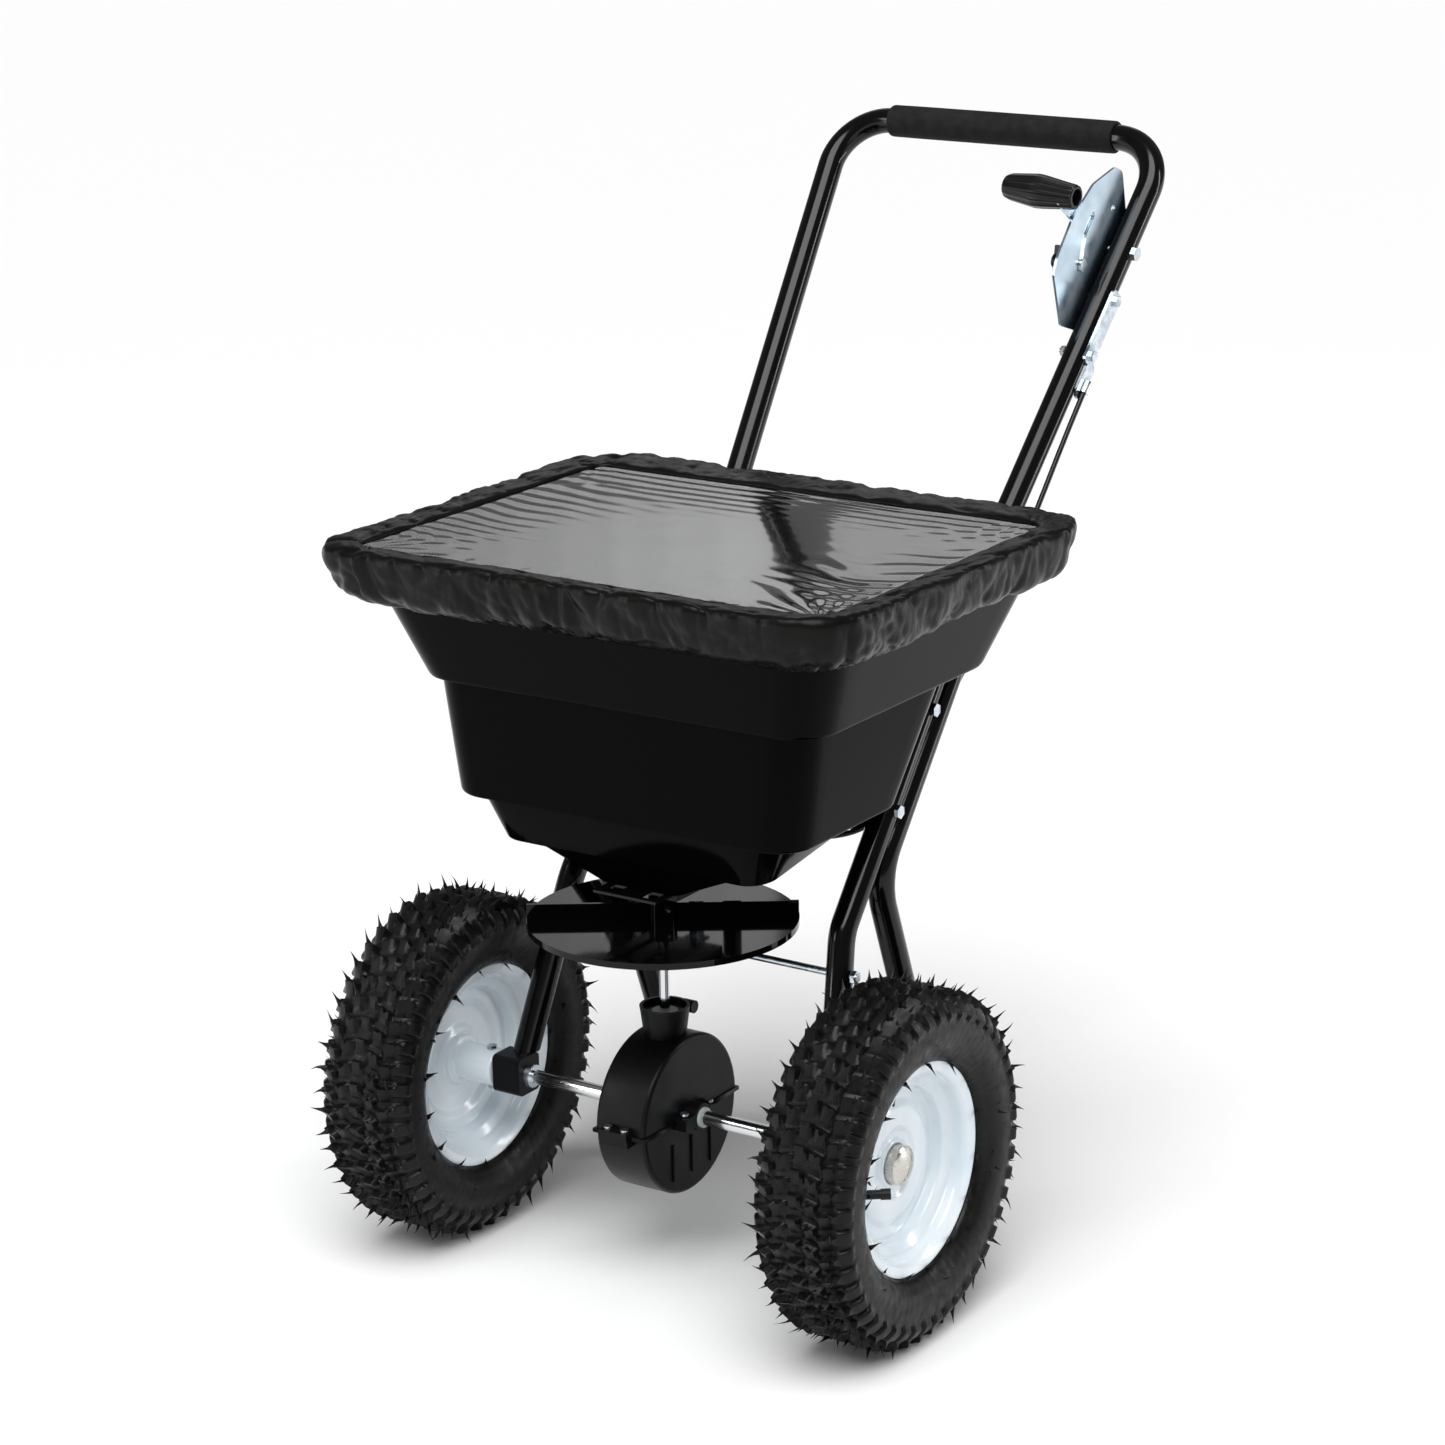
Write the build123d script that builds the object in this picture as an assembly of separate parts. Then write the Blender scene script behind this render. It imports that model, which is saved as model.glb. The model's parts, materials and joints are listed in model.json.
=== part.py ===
from build123d import *
import os
from math import atan, cos, hypot, pi, radians, sin, sqrt, tan

os.makedirs("parts", exist_ok=True)

# Walk-behind broadcast spreader, in millimetres.
# +X points along the axle to the freely turning wheel, +Y back to the handle, +Z up.
# The origin is on the ground, under the middle of the axle.

# ---- running and assembly clearances
running = 0.05          # radial, shaft in a bush
slip = 0.02             # radial, pieces that are assembled and stay put
gap = 0.4               # between pieces on different bodies
side_play = 0.3         # along an axle, between a turning piece and its neighbour

# ---- wheels and axle
wheel_radius = 165.0
track_half = 239.0
tyre_half_width = 48.0
rim_half_width = 32.7
rim_lip_radius = 97.0
rim_sheet = 3.0
bead_radius = 87.0
well_radius = 74.0
hub_radius = 18.0
hub_inboard = 48.0
hub_outboard = 8.0
hub_step = 3.0          # the hub's outboard end is turned down by this much for its cap
hub_step_x = 4.0
hub_cap_depth = 19.0
cap_dome = 4.0
axle_radius = 7.0
axle_end_length = 5.5   # the axle's end beyond the hub
clip_radius = 1.2
clip_inset = 2.2         # the clip from the axle's end
clip_washer_radius = 12.0
bush_wall = 2.5
bush_length = 16.0
wheel_bolt_radius = 2.9
valve_radius = 4.2

# ---- frame tubes
tube_radius = 12.5
tube_wall = 1.5
lean = 0.8              # how far the handle goes back for each millimetre it rises
handle_y = 383.0        # handle centre line at the reference height
handle_ref_z = 700.0
leg_x = 150.0
handle_splay = 0.1      # sideways for each millimetre of rise, above the splay bend
splay_z = 654.0
joint_z = 600.0         # where the handle plugs into the stand legs
spigot_length = 45.0
grip_z = 989.0
corner_bend = 52.0
grip_foam = 3.5         # thickness of the foam sleeve
grip_half_length = 126.0
grip_edge = 3.0         # rounding of the sleeve's ends
pair_clear = 0.77       # between a front leg and the stand leg behind it
leg_offset = (2 * tube_radius + pair_clear) * hypot(1, lean)   # along Y
leg_top_z = 552.0
leg_bend_z = 345.0
leg_foot_x = 172.0
leg_foot_y = 8.0
stand_bend_z = 379.0
stand_slope = 0.38      # how far the stand leg goes back for each millimetre it drops
leg_bend_radius = 60.0
foot_rubber = 3.5       # thickness of the foot around the stand leg
foot_radius = tube_radius + foot_rubber
foot_height = 30.0
cross_rod_z = 309.0
cross_rod_radius = 3.5
frame_bolt_radius = 4.0

# ---- axle blocks
block_in_x = 157.0
block_out_x = 188.0
block_half_y = 16.0
block_z = (wheel_radius - 18.0, wheel_radius + 19.0)
collar_length = 6.0

# ---- hopper: height, half width, front, back, corner radius of each section
wall = 3.0
rim_z = 686.0
tier1_z = 569.5
tier2_z = 460.0
tier3_z = 419.0
floor_z = 390.0
tier1_top = (256.0, -125.0, 287.0, 50.0)
tier1_low = (214.5, -83.5, 235.0, 42.0)
tier2_top = (201.0, -79.0, 182.0, 38.0)
tier2_low = (187.0, -72.0, 118.0, 34.0)
tier3_top = (160.0, -68.0, 104.0, 28.0)
tier3_low = (144.0, -55.0, 92.0, 24.0)
tier3_rise = 0.135      # the third tier's floor climbs towards the back
funnel_top = (118.0, -49.0, 84.0, 20.0)
funnel_low = (44.0, -38.0, 38.0, 10.0)
lip_width = 6.0
lip_depth = 6.0
outlet_x = 20.0
outlet_y = -22.0
outlet_size = 16.0

# ---- cover
cover_clear = 3.0       # skirt outside the hopper's lip
skirt_thickness = 11.0
skirt_depth = 49.0
cover_sheet = 4.0
window_inset = 29.0
window_lap = 4.0
window_thickness = 1.6

# ---- impeller, shaft and gears
shaft_radius = 4.75
shaft_top_z = 424.0
impeller_radius = 124.0
impeller_z = 346.0
impeller_sheet = 3.0
impeller_lip = 6.0
impeller_hub_radius = 13.0
impeller_hub_height = 20.0
blade_height = 14.0
blade_thickness = 3.0
blade_angle = 33.8
pin_angle = -40.0
agitator_z = 408.0
agitator_radius = 2.5
gear_module = 7.0 / 3.0
crown_teeth = 48
pinion_teeth = 12
gear_face = 14.0
crown_pin_x = -8.0
crown_pin_radius = 2.0
pinion_back = 60.0      # the small gear's back and hub end, and its pin, above the axle
pinion_hub_end = 71.0
pinion_pin_height = 66.0
shaft_pin_radius = 1.5

# ---- gearbox
box_radius = 76.0
box_half_width = 27.0
box_wall = 3.0
box_low_radius = 74.5
box_edge = 4.0          # rounding of the gearbox's two round edges
collar_z = wheel_radius + 102.0
collar_radius = 23.3
collar_neck_radius = 18.5
boss_radius = 13.0
boss_length = 13.0
shaft_bush_radius = 12.0
shaft_bush_length = 18.0

# ---- gate
gate_half_width = 34.0
gate_thickness = 2.4
gate_travel = 24.0
gate_tail_y = 60.0
wire_radius = 1.0

# ---- flow control on the handle
pivot_z = 893.0
plate_thickness = 2.5
lever_thickness = 3.0
lever_width = 24.0
lever_reach = 106.0
lever_angle = 92.0
slot_radius = 53.0
stop_angle = 136.4
slot_start_angle = 83.0
stop_travel = 27.0
stop_bolt_radius = 3.0
stop_sleeve_radius = 5.0
lever_grip_radius = 15.0
lever_grip_length = 72.0
pivot_bolt_radius = 4.0
cable_radius = 2.6
bracket_low_s = -112.0
bracket_sheet = 3.0


# ================================================================ helpers
def rod(start, end, radius):
    """A round bar from one point to another."""
    a = Vector(*start)
    b = Vector(*end)
    seat = Plane(origin=a, z_dir=(b - a).normalized())
    return seat * Cylinder(radius, (b - a).length, align=(Align.CENTER, Align.CENTER, Align.MIN))


def bar_x(x0, x1, radius, y=0.0, z=0.0):
    """A round bar along X."""
    return rod((min(x0, x1), y, z), (max(x0, x1), y, z), radius)


def ring_x(x0, x1, outer, inner, y=0.0, z=0.0):
    """A bush or washer whose hole runs along X."""
    return bar_x(x0, x1, outer, y, z) - bar_x(min(x0, x1) - 1, max(x0, x1) + 1, inner, y, z)


def block(x0, x1, y0, y1, z0, z1):
    """A box between two corners."""
    centre = Pos((x0 + x1) / 2, (y0 + y1) / 2, (z0 + z1) / 2)
    return centre * Box(abs(x1 - x0), abs(y1 - y0), abs(z1 - z0))


def bent_tube(points, radii, outer, inner=0.0):
    """A round tube along straight runs joined by arcs."""
    path = FilletPolyline(*points, radius=radii)
    seat = Plane(origin=path @ 0, z_dir=path % 0)
    tube = sweep(seat * Circle(outer), path=path)
    if inner > 0:
        tube -= sweep(seat * Circle(inner), path=path)
    return tube


def spun_x(profile):
    """Turns a closed outline of (x, radius) points about the X axis."""
    face = make_face(Polyline(*[(x, r, 0) for x, r in profile], close=True))
    return revolve(face, Axis.X, 360)


def both_sides(shape):
    """The shape and its mirror image in the plane X = 0."""
    return Compound(children=[s.moved(Location()) for s in shape.solids()]
                    + list(mirror(shape, about=Plane.YZ).solids()))


def group(*shapes):
    """Separate solids kept in one node."""
    return Compound(children=[s.moved(Location()) for shape in shapes for s in shape.solids()])


def save(name, shape):
    """Writes one node."""
    solids = shape.solids()
    body = solids[0] if len(solids) == 1 else Compound(children=list(solids))
    body.label = name
    export_step(body, f"parts/{name}.step")


def handle_line_y(z):
    """Y of the centre line that the handle and the stand legs share."""
    return handle_y + lean * (z - handle_ref_z)


def handle_x(z):
    """Half the distance between the handle's two tubes."""
    return leg_x + handle_splay * max(0.0, z - splay_z)


def hex_bolt(start, end, radius, head=6.5, head_height=4.0, nut=True):
    """A bolt whose shank runs from start to end, its head outside the start."""
    a = Vector(*start)
    b = Vector(*end)
    along = (b - a).normalized()
    bolt = rod(a, b, radius)
    seat = Plane(origin=a - along * head_height, z_dir=along)
    bolt += extrude(seat * RegularPolygon(head, 6), head_height)
    if nut:
        far = Plane(origin=b, z_dir=along)
        bolt += extrude(far * RegularPolygon(head, 6), head_height)
        bolt += rod(b, b + along * (head_height + 2), radius)
    return bolt


# ================================================================ wheels
def tyre():
    """A 13 inch pneumatic tyre, hollow, with its beads inside the rim's lips."""
    bead = rim_half_width - rim_sheet
    toe = bead_radius + slip
    lip_clear = rim_lip_radius + 2.0
    shoulder = (tyre_half_width - 4, wheel_radius - 15)
    edge = (tyre_half_width - 13, wheel_radius - 4)
    bulge = (tyre_half_width, (lip_clear + shoulder[1]) / 2)
    right = Line((bead - 6, toe), (bead - slip, toe))
    right += Line((bead - slip, toe), (bead - slip, lip_clear))
    right += ThreePointArc((bead - slip, lip_clear), bulge, shoulder)
    right += Line(shoulder, edge)
    crown = ThreePointArc(edge, (0, wheel_radius), (-edge[0], edge[1]))
    cavity = [(bead - 6, toe), (bead - 6, lip_clear + 3)]
    inner_bulge = (tyre_half_width - 7, bulge[1])
    inner_shoulder = (tyre_half_width - 12, shoulder[1] - 4)
    inside = Line(*cavity)
    inside += ThreePointArc(cavity[1], inner_bulge, inner_shoulder)
    roof = ThreePointArc(inner_shoulder, (0, wheel_radius - 9), (-inner_shoulder[0], inner_shoulder[1]))
    left = mirror(right, about=Plane.YZ)
    left_inside = mirror(inside, about=Plane.YZ)
    face = make_face(right.edges() + crown.edges() + left.edges()
                     + inside.edges() + roof.edges() + left_inside.edges())
    return revolve(face, Axis.X, 360)


def inner_tube():
    """The air tube inside the tyre."""
    centre = (wheel_radius - 9 + bead_radius) / 2 + 2
    high = (wheel_radius - 9 - bead_radius) / 2 - 5
    wide = rim_half_width - rim_sheet - 9
    ring = Pos(0, centre, 0) * (Ellipse(wide, high) - Ellipse(wide - 2, high - 2))
    return revolve(ring, Axis.X, 360)


def rim():
    """A pressed steel rim with a dropped well, a stepped disc and a long hub."""
    w = rim_half_width
    t = rim_sheet
    rolled = rim_lip_radius
    b = bead_radius
    outer = [(w, rolled), (w - t, rolled), (w - t, b), (16, b - 2), (12, well_radius)]
    outer += [(-x, r) for x, r in reversed(outer)]
    inner = [(-w, b - t), (-16 - 1, b - 2 - t), (-12 - 1, well_radius - t)]
    inner += [(-x, r) for x, r in reversed(inner)]
    drum = spun_x(outer + inner)
    disc = [(2, well_radius - 1), (2, 58), (7, 52), (7, 34), (4, 30), (4, hub_radius - 1)]
    disc += [(x - t, r) for x, r in reversed(disc)]
    step = hub_radius - hub_step
    hub = [(hub_outboard, step), (hub_step_x, step), (hub_step_x, hub_radius), (-hub_inboard, hub_radius)]
    bore = axle_radius + bush_wall
    hub += [(-hub_inboard, bore), (hub_outboard, bore)]
    return drum + spun_x(disc) + spun_x(hub)


def rim_cuts():
    """Holes through the rim for its valve and for the bolt across its hub."""
    bolt_hole = Pos(bolt_x(), 0, 0) * Cylinder(wheel_bolt_radius + slip, 4 * hub_radius)
    return valve(slip) + bolt_hole


def bolt_x():
    """Where the bolt crosses the hub, from the middle of the wheel."""
    return -hub_inboard + 9


def valve_line():
    """The two ends of the valve stem, from the middle of the wheel."""
    radius = well_radius - 4
    return Vector(1, -radius, -6), Vector(rim_half_width - 1, -radius + 21, -5)


def valve(grow=0.0):
    """A rubber valve stem with its cap and its foot inside the tyre."""
    base, tip = valve_line()
    along = (tip - base).normalized()
    stem = rod(base - along * 7, tip - along * 9, valve_radius + grow)
    cap = rod(tip - along * 9, tip, valve_radius + 0.8 + grow)
    foot = rod(base - along * 8, base - along * 5, valve_radius + 2 + grow)
    return stem + cap + foot


def hub_cap():
    """A domed cap pressed over the outboard end of the hub."""
    outer = hub_radius
    seat = hub_radius - hub_step + slip
    flat = hub_cap_depth - cap_dome
    inside = hub_outboard + axle_end_length + 1
    ball_radius = (outer ** 2 + cap_dome ** 2) / (2 * cap_dome)
    half_way = hub_cap_depth - ball_radius + sqrt(ball_radius ** 2 - outer ** 2 / 4)
    edge = ThreePointArc((hub_cap_depth, 0), (half_way, outer / 2), (flat, outer))
    rest = Polyline((flat, outer), (hub_step_x + slip, outer), (hub_step_x + slip, seat), (inside, seat),
                    (inside, 0), (hub_cap_depth, 0))
    return revolve(make_face(edge.edges() + rest.edges()), Axis.X, 360)


def wheel_bushes():
    """Two flanged bushes between the hub and the axle."""
    outer = axle_radius + bush_wall - slip
    inner = axle_radius + running
    inboard = ring_x(-hub_inboard, -hub_inboard + bush_length, outer, inner)
    outboard = ring_x(hub_outboard - bush_length, hub_outboard, outer, inner)
    cross = Pos(bolt_x(), 0, 0) * Cylinder(wheel_bolt_radius + slip, 4 * hub_radius)
    return group(inboard - cross, outboard)


def wheel_pieces(side):
    """Every piece of one wheel, placed on the axle; side is +1 or -1."""
    pieces = {
        "tyre": tyre(),
        "inner_tube": inner_tube(),
        "rim": rim() - rim_cuts(),
        "valve_stem": valve(),
        "hub_cap": hub_cap(),
        "wheel_bushes": wheel_bushes(),
    }
    placed = {}
    for name, shape in pieces.items():
        if side < 0:
            shape = mirror(shape, about=Plane.YZ)
        placed[name] = Pos(side * track_half, 0, wheel_radius) * shape
    return placed


# ================================================================ axle and drive
def bevel_gear(teeth, mate_teeth, bore, hub_radius_mm, back, hub_end, half_pitch):
    """A straight bevel gear on +Z with its pitch cone's point at the origin.

    Each tooth is a wedge between two similar trapeziums that shrink towards that point.
    """
    pitch_angle = atan(teeth / mate_teeth)
    cone = gear_module * teeth / 2 / sin(pitch_angle)
    shrink = (cone - gear_face) / cone
    out_r = cone * sin(pitch_angle)
    out_z = cone * cos(pitch_angle)
    head = 0.7 * gear_module
    foot = 1.05 * gear_module
    half = 0.41 * pi * gear_module / 2

    def corner(height, width):
        return Vector(out_r + height * cos(pitch_angle), width, out_z - height * sin(pitch_angle))

    slope = tan(radians(20))
    tip = half - head * slope
    root = half + (foot + 0.5) * slope
    deep = -(foot + 0.5)
    outer = [corner(deep, -root), corner(deep, root), corner(head, tip), corner(head, -tip)]
    inner = [p * shrink for p in outer]
    faces = [Face(Wire.make_polygon(loop, close=True)) for loop in (outer, inner)]
    tooth = Solid.make_loft([f.outer_wire() for f in faces], True)
    a = corner(-foot, 0)
    b = a * shrink
    outline = [(bore, b.Z), (b.X, b.Z), (a.X, a.Z), (a.X, back), (hub_radius_mm, back),
               (hub_radius_mm, hub_end), (bore, hub_end)]
    face = make_face(Polyline(*[(x, 0, z) for x, z in outline], close=True))
    blank = revolve(face, Axis.Z, 360)
    start = 180 / teeth if half_pitch else 0
    ring = [Rot(0, 0, start + 360 * i / teeth) * tooth for i in range(teeth)]
    return blank.fuse(*ring)


def crown_gear():
    """The large gear on the axle, its teeth facing the impeller shaft."""
    back = box_half_width - box_wall - 1
    gear = bevel_gear(crown_teeth, pinion_teeth, axle_radius + slip, 12.0, back, 3.0, False)
    pin_hole = Pos(0, 0, -crown_pin_x) * Rot(90, 0, 0) * Cylinder(crown_pin_radius + slip, 60)
    gear -= pin_hole
    return Pos(0, 0, wheel_radius) * Rot(0, -90, 0) * gear


def pinion_gear():
    """The small gear at the foot of the impeller shaft."""
    gear = bevel_gear(pinion_teeth, crown_teeth, shaft_radius + slip, 10.0, pinion_back, pinion_hub_end, True)
    gear -= Pos(0, 0, pinion_pin_height) * Rot(90, 0, 0) * Cylinder(shaft_pin_radius + slip, 40)
    return Pos(0, 0, wheel_radius) * gear


def axle_end_x():
    """Half the axle's length."""
    return track_half + hub_outboard + axle_end_length


def axle():
    """The chrome axle, drilled for its pins."""
    end = axle_end_x()
    shaft = bar_x(-end, end, axle_radius, 0, wheel_radius)
    shaft -= Pos(crown_pin_x, 0, wheel_radius) * Rot(90, 0, 0) * Cylinder(crown_pin_radius + slip, 60)
    shaft -= Pos(-track_half - bolt_x(), 0, wheel_radius) * Cylinder(wheel_bolt_radius + slip, 60)
    for side in (1, -1):
        shaft -= Pos(side * (end - clip_inset), 0, wheel_radius) * Cylinder(clip_radius + slip, 40)
    return shaft


def axle_clips():
    """A washer and a cotter pin at each end of the axle, under the hub caps."""
    face = track_half + hub_outboard
    inside = face + side_play
    washer = ring_x(inside, inside + 1.6, clip_washer_radius, axle_radius + slip, 0, wheel_radius)
    pin = Pos(axle_end_x() - clip_inset, 0, wheel_radius) * Cylinder(clip_radius, 22)
    return both_sides(group(washer, pin))


def axle_collars():
    """Collars that hold the axle between the frame's blocks, and the spacers outside them."""
    bore = axle_radius + slip
    inner_end = block_in_x - side_play
    inner = ring_x(inner_end - collar_length, inner_end, 11, bore, 0, wheel_radius)
    hub_face = track_half - hub_inboard
    outer = ring_x(block_out_x + side_play, hub_face - side_play, 13, bore, 0, wheel_radius)
    return both_sides(group(inner, outer))


def drive_bolt():
    """The bolt that ties one wheel's hub to the axle."""
    x = -track_half - bolt_x()
    top = wheel_radius + hub_radius
    bottom = wheel_radius - hub_radius
    return hex_bolt((x, 0, top), (x, 0, bottom), wheel_bolt_radius, head=5.0, head_height=3.5)


# ================================================================ gearbox
def gearbox_half(upper):
    """One half of the clamshell around the gears."""
    radius = box_radius if upper else box_low_radius
    drum = bar_x(-box_half_width, box_half_width, radius)
    drum = fillet(drum.edges().filter_by(GeomType.CIRCLE), box_edge)
    ears = block(-15, 15, radius - 8, radius + 11, -7, 7) + block(-15, 15, -radius - 11, -radius + 8, -7, 7)
    x0 = box_half_width - 0.5
    x1 = box_half_width + boss_length
    cheek = block(x0, x1, -27, 27, -6, 6) + bar_x(x0, x1, boss_radius)
    body = drum + ears + cheek + mirror(cheek, about=Plane.YZ)
    if upper:
        neck_z = sqrt(radius ** 2 - collar_neck_radius ** 2) - 8
        height = collar_z - wheel_radius - neck_z
        collar = Pos(0, 0, neck_z) * Cone(collar_neck_radius, collar_radius, height,
                                         align=(Align.CENTER, Align.CENTER, Align.MIN))
        lug = rod((6, collar_radius - 1, collar_z - wheel_radius - 6),
                  (18, collar_radius - 1, collar_z - wheel_radius - 6), 6.0)
        body += collar + lug
    else:
        for y in (-30, 0, 30):
            body += block(box_half_width - 1, box_half_width + 2, y - 1.2, y + 1.2, -radius * 0.75, -20)
    body -= bar_x(-box_half_width + box_wall, box_half_width - box_wall, radius - box_wall)
    body -= bar_x(-x1 - 1, x1 + 1, axle_radius + bush_wall + slip)
    if upper:
        body -= Pos(0, 0, 40) * Cylinder(shaft_bush_radius + slip, 80,
                                         align=(Align.CENTER, Align.CENTER, Align.MIN))
        cup = collar_z - wheel_radius
        body -= Pos(0, 0, cup - 5) * Cylinder(collar_radius - 3, 10,
                                              align=(Align.CENTER, Align.CENTER, Align.MIN))
        body -= block(-100, 100, -200, 200, -200, 0)
    else:
        body -= block(-100, 100, -200, 200, 0, 200)
    for x, y in gearbox_screw_places():
        body -= Pos(x, y, 0) * Cylinder(2 + slip, 60)
    return Pos(0, 0, wheel_radius) * body


def gearbox_screw_places():
    """Plan positions of the screws that close the gearbox."""
    ends = [(x, y) for x in (-9, 9) for y in (-box_low_radius - 6, box_low_radius + 6)]
    cheek_x = box_half_width + boss_length / 2
    sides = [(x, y) for x in (-cheek_x, cheek_x) for y in (-20, 20)]
    return ends + sides


def gearbox_screws():
    """Screws through both halves of the gearbox."""
    z = wheel_radius
    return group(*[rod((x, y, z - 8), (x, y, z + 7), 2.0) + rod((x, y, z + 7 + slip), (x, y, z + 9.5), 4.0)
                   for x, y in gearbox_screw_places()])


def gearbox_bushes():
    """Bushes between the gearbox and the axle."""
    x0 = box_half_width - box_wall
    x1 = box_half_width + boss_length + 3
    bush = ring_x(x0, x1, axle_radius + bush_wall, axle_radius + running, 0, wheel_radius)
    return both_sides(bush)


def shaft_bush():
    """Pale nylon bush in the gearbox's neck."""
    top = collar_z - 5
    ring = Cylinder(shaft_bush_radius, shaft_bush_length) - Cylinder(shaft_radius + running, 60)
    return Pos(0, 0, top - shaft_bush_length / 2) * ring


# ================================================================ impeller
def impeller_shaft():
    """The upright shaft that turns the impeller and the agitator."""
    foot_z = wheel_radius + 40
    shaft = rod((0, 0, foot_z), (0, 0, shaft_top_z), shaft_radius)
    pin_z = wheel_radius + pinion_pin_height
    shaft -= Pos(0, 0, pin_z) * Rot(90, 0, 0) * Cylinder(shaft_pin_radius + slip, 40)
    shaft -= impeller_pin(slip)
    shaft -= Pos(0, 0, agitator_z) * Rot(0, 0, blade_angle) * bar_x(-20, 20, agitator_radius + slip)
    return shaft


def impeller_pin(grow=0.0):
    """The cotter pin through the impeller's hub."""
    z = impeller_z + impeller_lip + impeller_hub_height - 8
    return Pos(0, 0, z) * Rot(0, 0, pin_angle) * bar_x(-21, 21, shaft_pin_radius + grow)


def impeller():
    """A turned-down disc with a hub and two blades in line."""
    top = impeller_z + impeller_lip
    disc = rod((0, 0, impeller_z), (0, 0, top), impeller_radius)
    disc -= rod((0, 0, impeller_z - 1), (0, 0, top - impeller_sheet), impeller_radius - impeller_sheet)
    hub = rod((0, 0, top - 1), (0, 0, top + impeller_hub_height), impeller_hub_radius)
    blade_z = top - 0.5 + blade_height / 2
    blade = Pos(0, 0, blade_z) * Box(2 * impeller_radius - 1, blade_thickness, blade_height + 1)
    body = disc + hub + Rot(0, 0, blade_angle) * blade
    body -= rod((0, 0, impeller_z - 1), (0, 0, top + 60), shaft_radius + slip)
    return body - impeller_pin(slip)


def impeller_pins():
    """The cotter pins through the impeller's hub and through the small gear."""
    short_pin = Pos(0, 0, wheel_radius + pinion_pin_height) * Rot(90, 0, 0) * Cylinder(shaft_pin_radius, 20)
    return group(impeller_pin(), short_pin)


def agitator():
    """The wire through the shaft that stirs what is in the hopper."""
    spread = [(-36, 0, 14), (-24, 0, 0), (24, 0, 0), (36, 0, 14)]
    wire = bent_tube(spread, 8, agitator_radius)
    return Pos(0, 0, agitator_z) * Rot(0, 0, blade_angle) * wire


# ================================================================ hopper
def section(half, front, back, corner, z, rise=0.0, shrink=0.0, lift=0.0):
    """One rounded rectangle of the hopper, level or tilted up from the third step's front edge."""
    middle = (front + back) / 2
    seat = Plane(origin=(0, middle, z + rise * (middle - tier3_low[1]) + lift), x_dir=(1, 0, 0),
                 z_dir=(0, -rise, 1))
    depth = (back - front) * sqrt(1 + rise ** 2)
    return seat * RectangleRounded(2 * (half - shrink), depth - 2 * shrink, max(2.0, corner - shrink))


def tier(top, top_z, low, low_z, shrink=0.0, lift=0.0, rise=0.0, top_lift=0.0, top_rise=0.0):
    """The solid between two sections."""
    lower = section(*low, low_z, rise, shrink, lift)
    upper = section(*top, top_z, top_rise, shrink, top_lift)
    return loft([lower, upper], ruled=True)


def hopper():
    """A three-step tub over a shallow funnel, with a turned lip."""
    outer = tier(tier1_top, rim_z, tier1_low, tier1_z)
    outer += tier(tier2_top, tier1_z, tier2_low, tier2_z)
    outer += tier(tier3_top, tier2_z, tier3_low, tier3_z, rise=tier3_rise)
    outer += tier(funnel_top, tier3_z, funnel_low, floor_z, top_rise=tier3_rise, top_lift=0.5)
    inner = tier(tier1_top, rim_z, tier1_low, tier1_z, shrink=wall, lift=wall, top_lift=0.1)
    inner += tier(tier2_top, tier1_z, tier2_low, tier2_z, shrink=wall, lift=wall, top_lift=wall + 0.1)
    inner += tier(tier3_top, tier2_z, tier3_low, tier3_z, shrink=wall, lift=wall, rise=tier3_rise,
                  top_lift=wall + 0.1)
    inner += tier(funnel_top, tier3_z, funnel_low, floor_z, shrink=wall, lift=wall, top_rise=tier3_rise,
                  top_lift=wall + 0.6)
    half, front, back, corner = tier1_top
    lip = extrude(section(half, front, back, corner, rim_z - lip_depth, shrink=-lip_width), lip_depth)
    body = outer + lip - inner
    body -= extrude(section(half - wall, front + wall, back - wall, corner - wall, rim_z - 0.5), 5)
    body -= Pos(0, 0, floor_z) * Cylinder(9 + slip, 20)
    for x in (-outlet_x, outlet_x):
        body -= Pos(x, outlet_y, floor_z) * Box(outlet_size, outlet_size, 20)
    for x, y in hopper_screw_places():
        body -= Pos(x, y, tier1_z) * Cylinder(3 + slip, 30)
    return body


def hopper_bush():
    """Bush between the hopper's floor and the impeller shaft."""
    ring = rod((0, 0, floor_z), (0, 0, floor_z + wall), 9)
    ring += rod((0, 0, floor_z + wall), (0, 0, floor_z + wall + 2), 12)
    return ring - rod((0, 0, floor_z - 1), (0, 0, floor_z + 20), shaft_radius + running)


def hopper_screw_places():
    """Plan positions of the screws through the hopper's upper ledge."""
    y = (tier1_low[2] + tier2_top[2]) / 2
    return [(x, y) for x in (-leg_x + 24, leg_x - 24)]


def hopper_screws():
    """Screws that hold the hopper's ledge to its brackets."""
    top = tier1_z + wall
    low = tier1_z - bracket_sheet - 5
    return group(*[rod((x, y, low), (x, y, top), 3) + rod((x, y, top), (x, y, top + 3), 6)
                   + rod((x, y, low), (x, y, low + 4.5), 5.5) for x, y in hopper_screw_places()])


def hopper_brackets():
    """Angle brackets from the front legs to the hopper's ledge."""
    x_out = leg_x - tube_radius - slip
    x_in = x_out - 24
    y0 = tier2_top[2] + 8
    y1 = tier1_low[2] - 1
    top = tier1_z
    tab = block(x_in, x_out, y0, y1, top - bracket_sheet, top)
    web_low = leg_top_z - 46
    y_low = handle_line_y(web_low) - leg_offset
    web = block(x_out - bracket_sheet, x_out, y_low - 12, y1, web_low, top)
    tab += web
    for x, y in hopper_screw_places():
        tab -= Pos(abs(x), y, top) * Cylinder(3 + slip, 30)
    tab -= bar_x(x_in, x_out + 5, frame_bolt_radius + slip, *bracket_bolt_place())
    return both_sides(tab)


def bracket_bolt_place():
    """Y and Z of the bolt that holds a hopper bracket to its leg."""
    z = leg_top_z - 32
    return handle_line_y(z) - leg_offset, z


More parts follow.
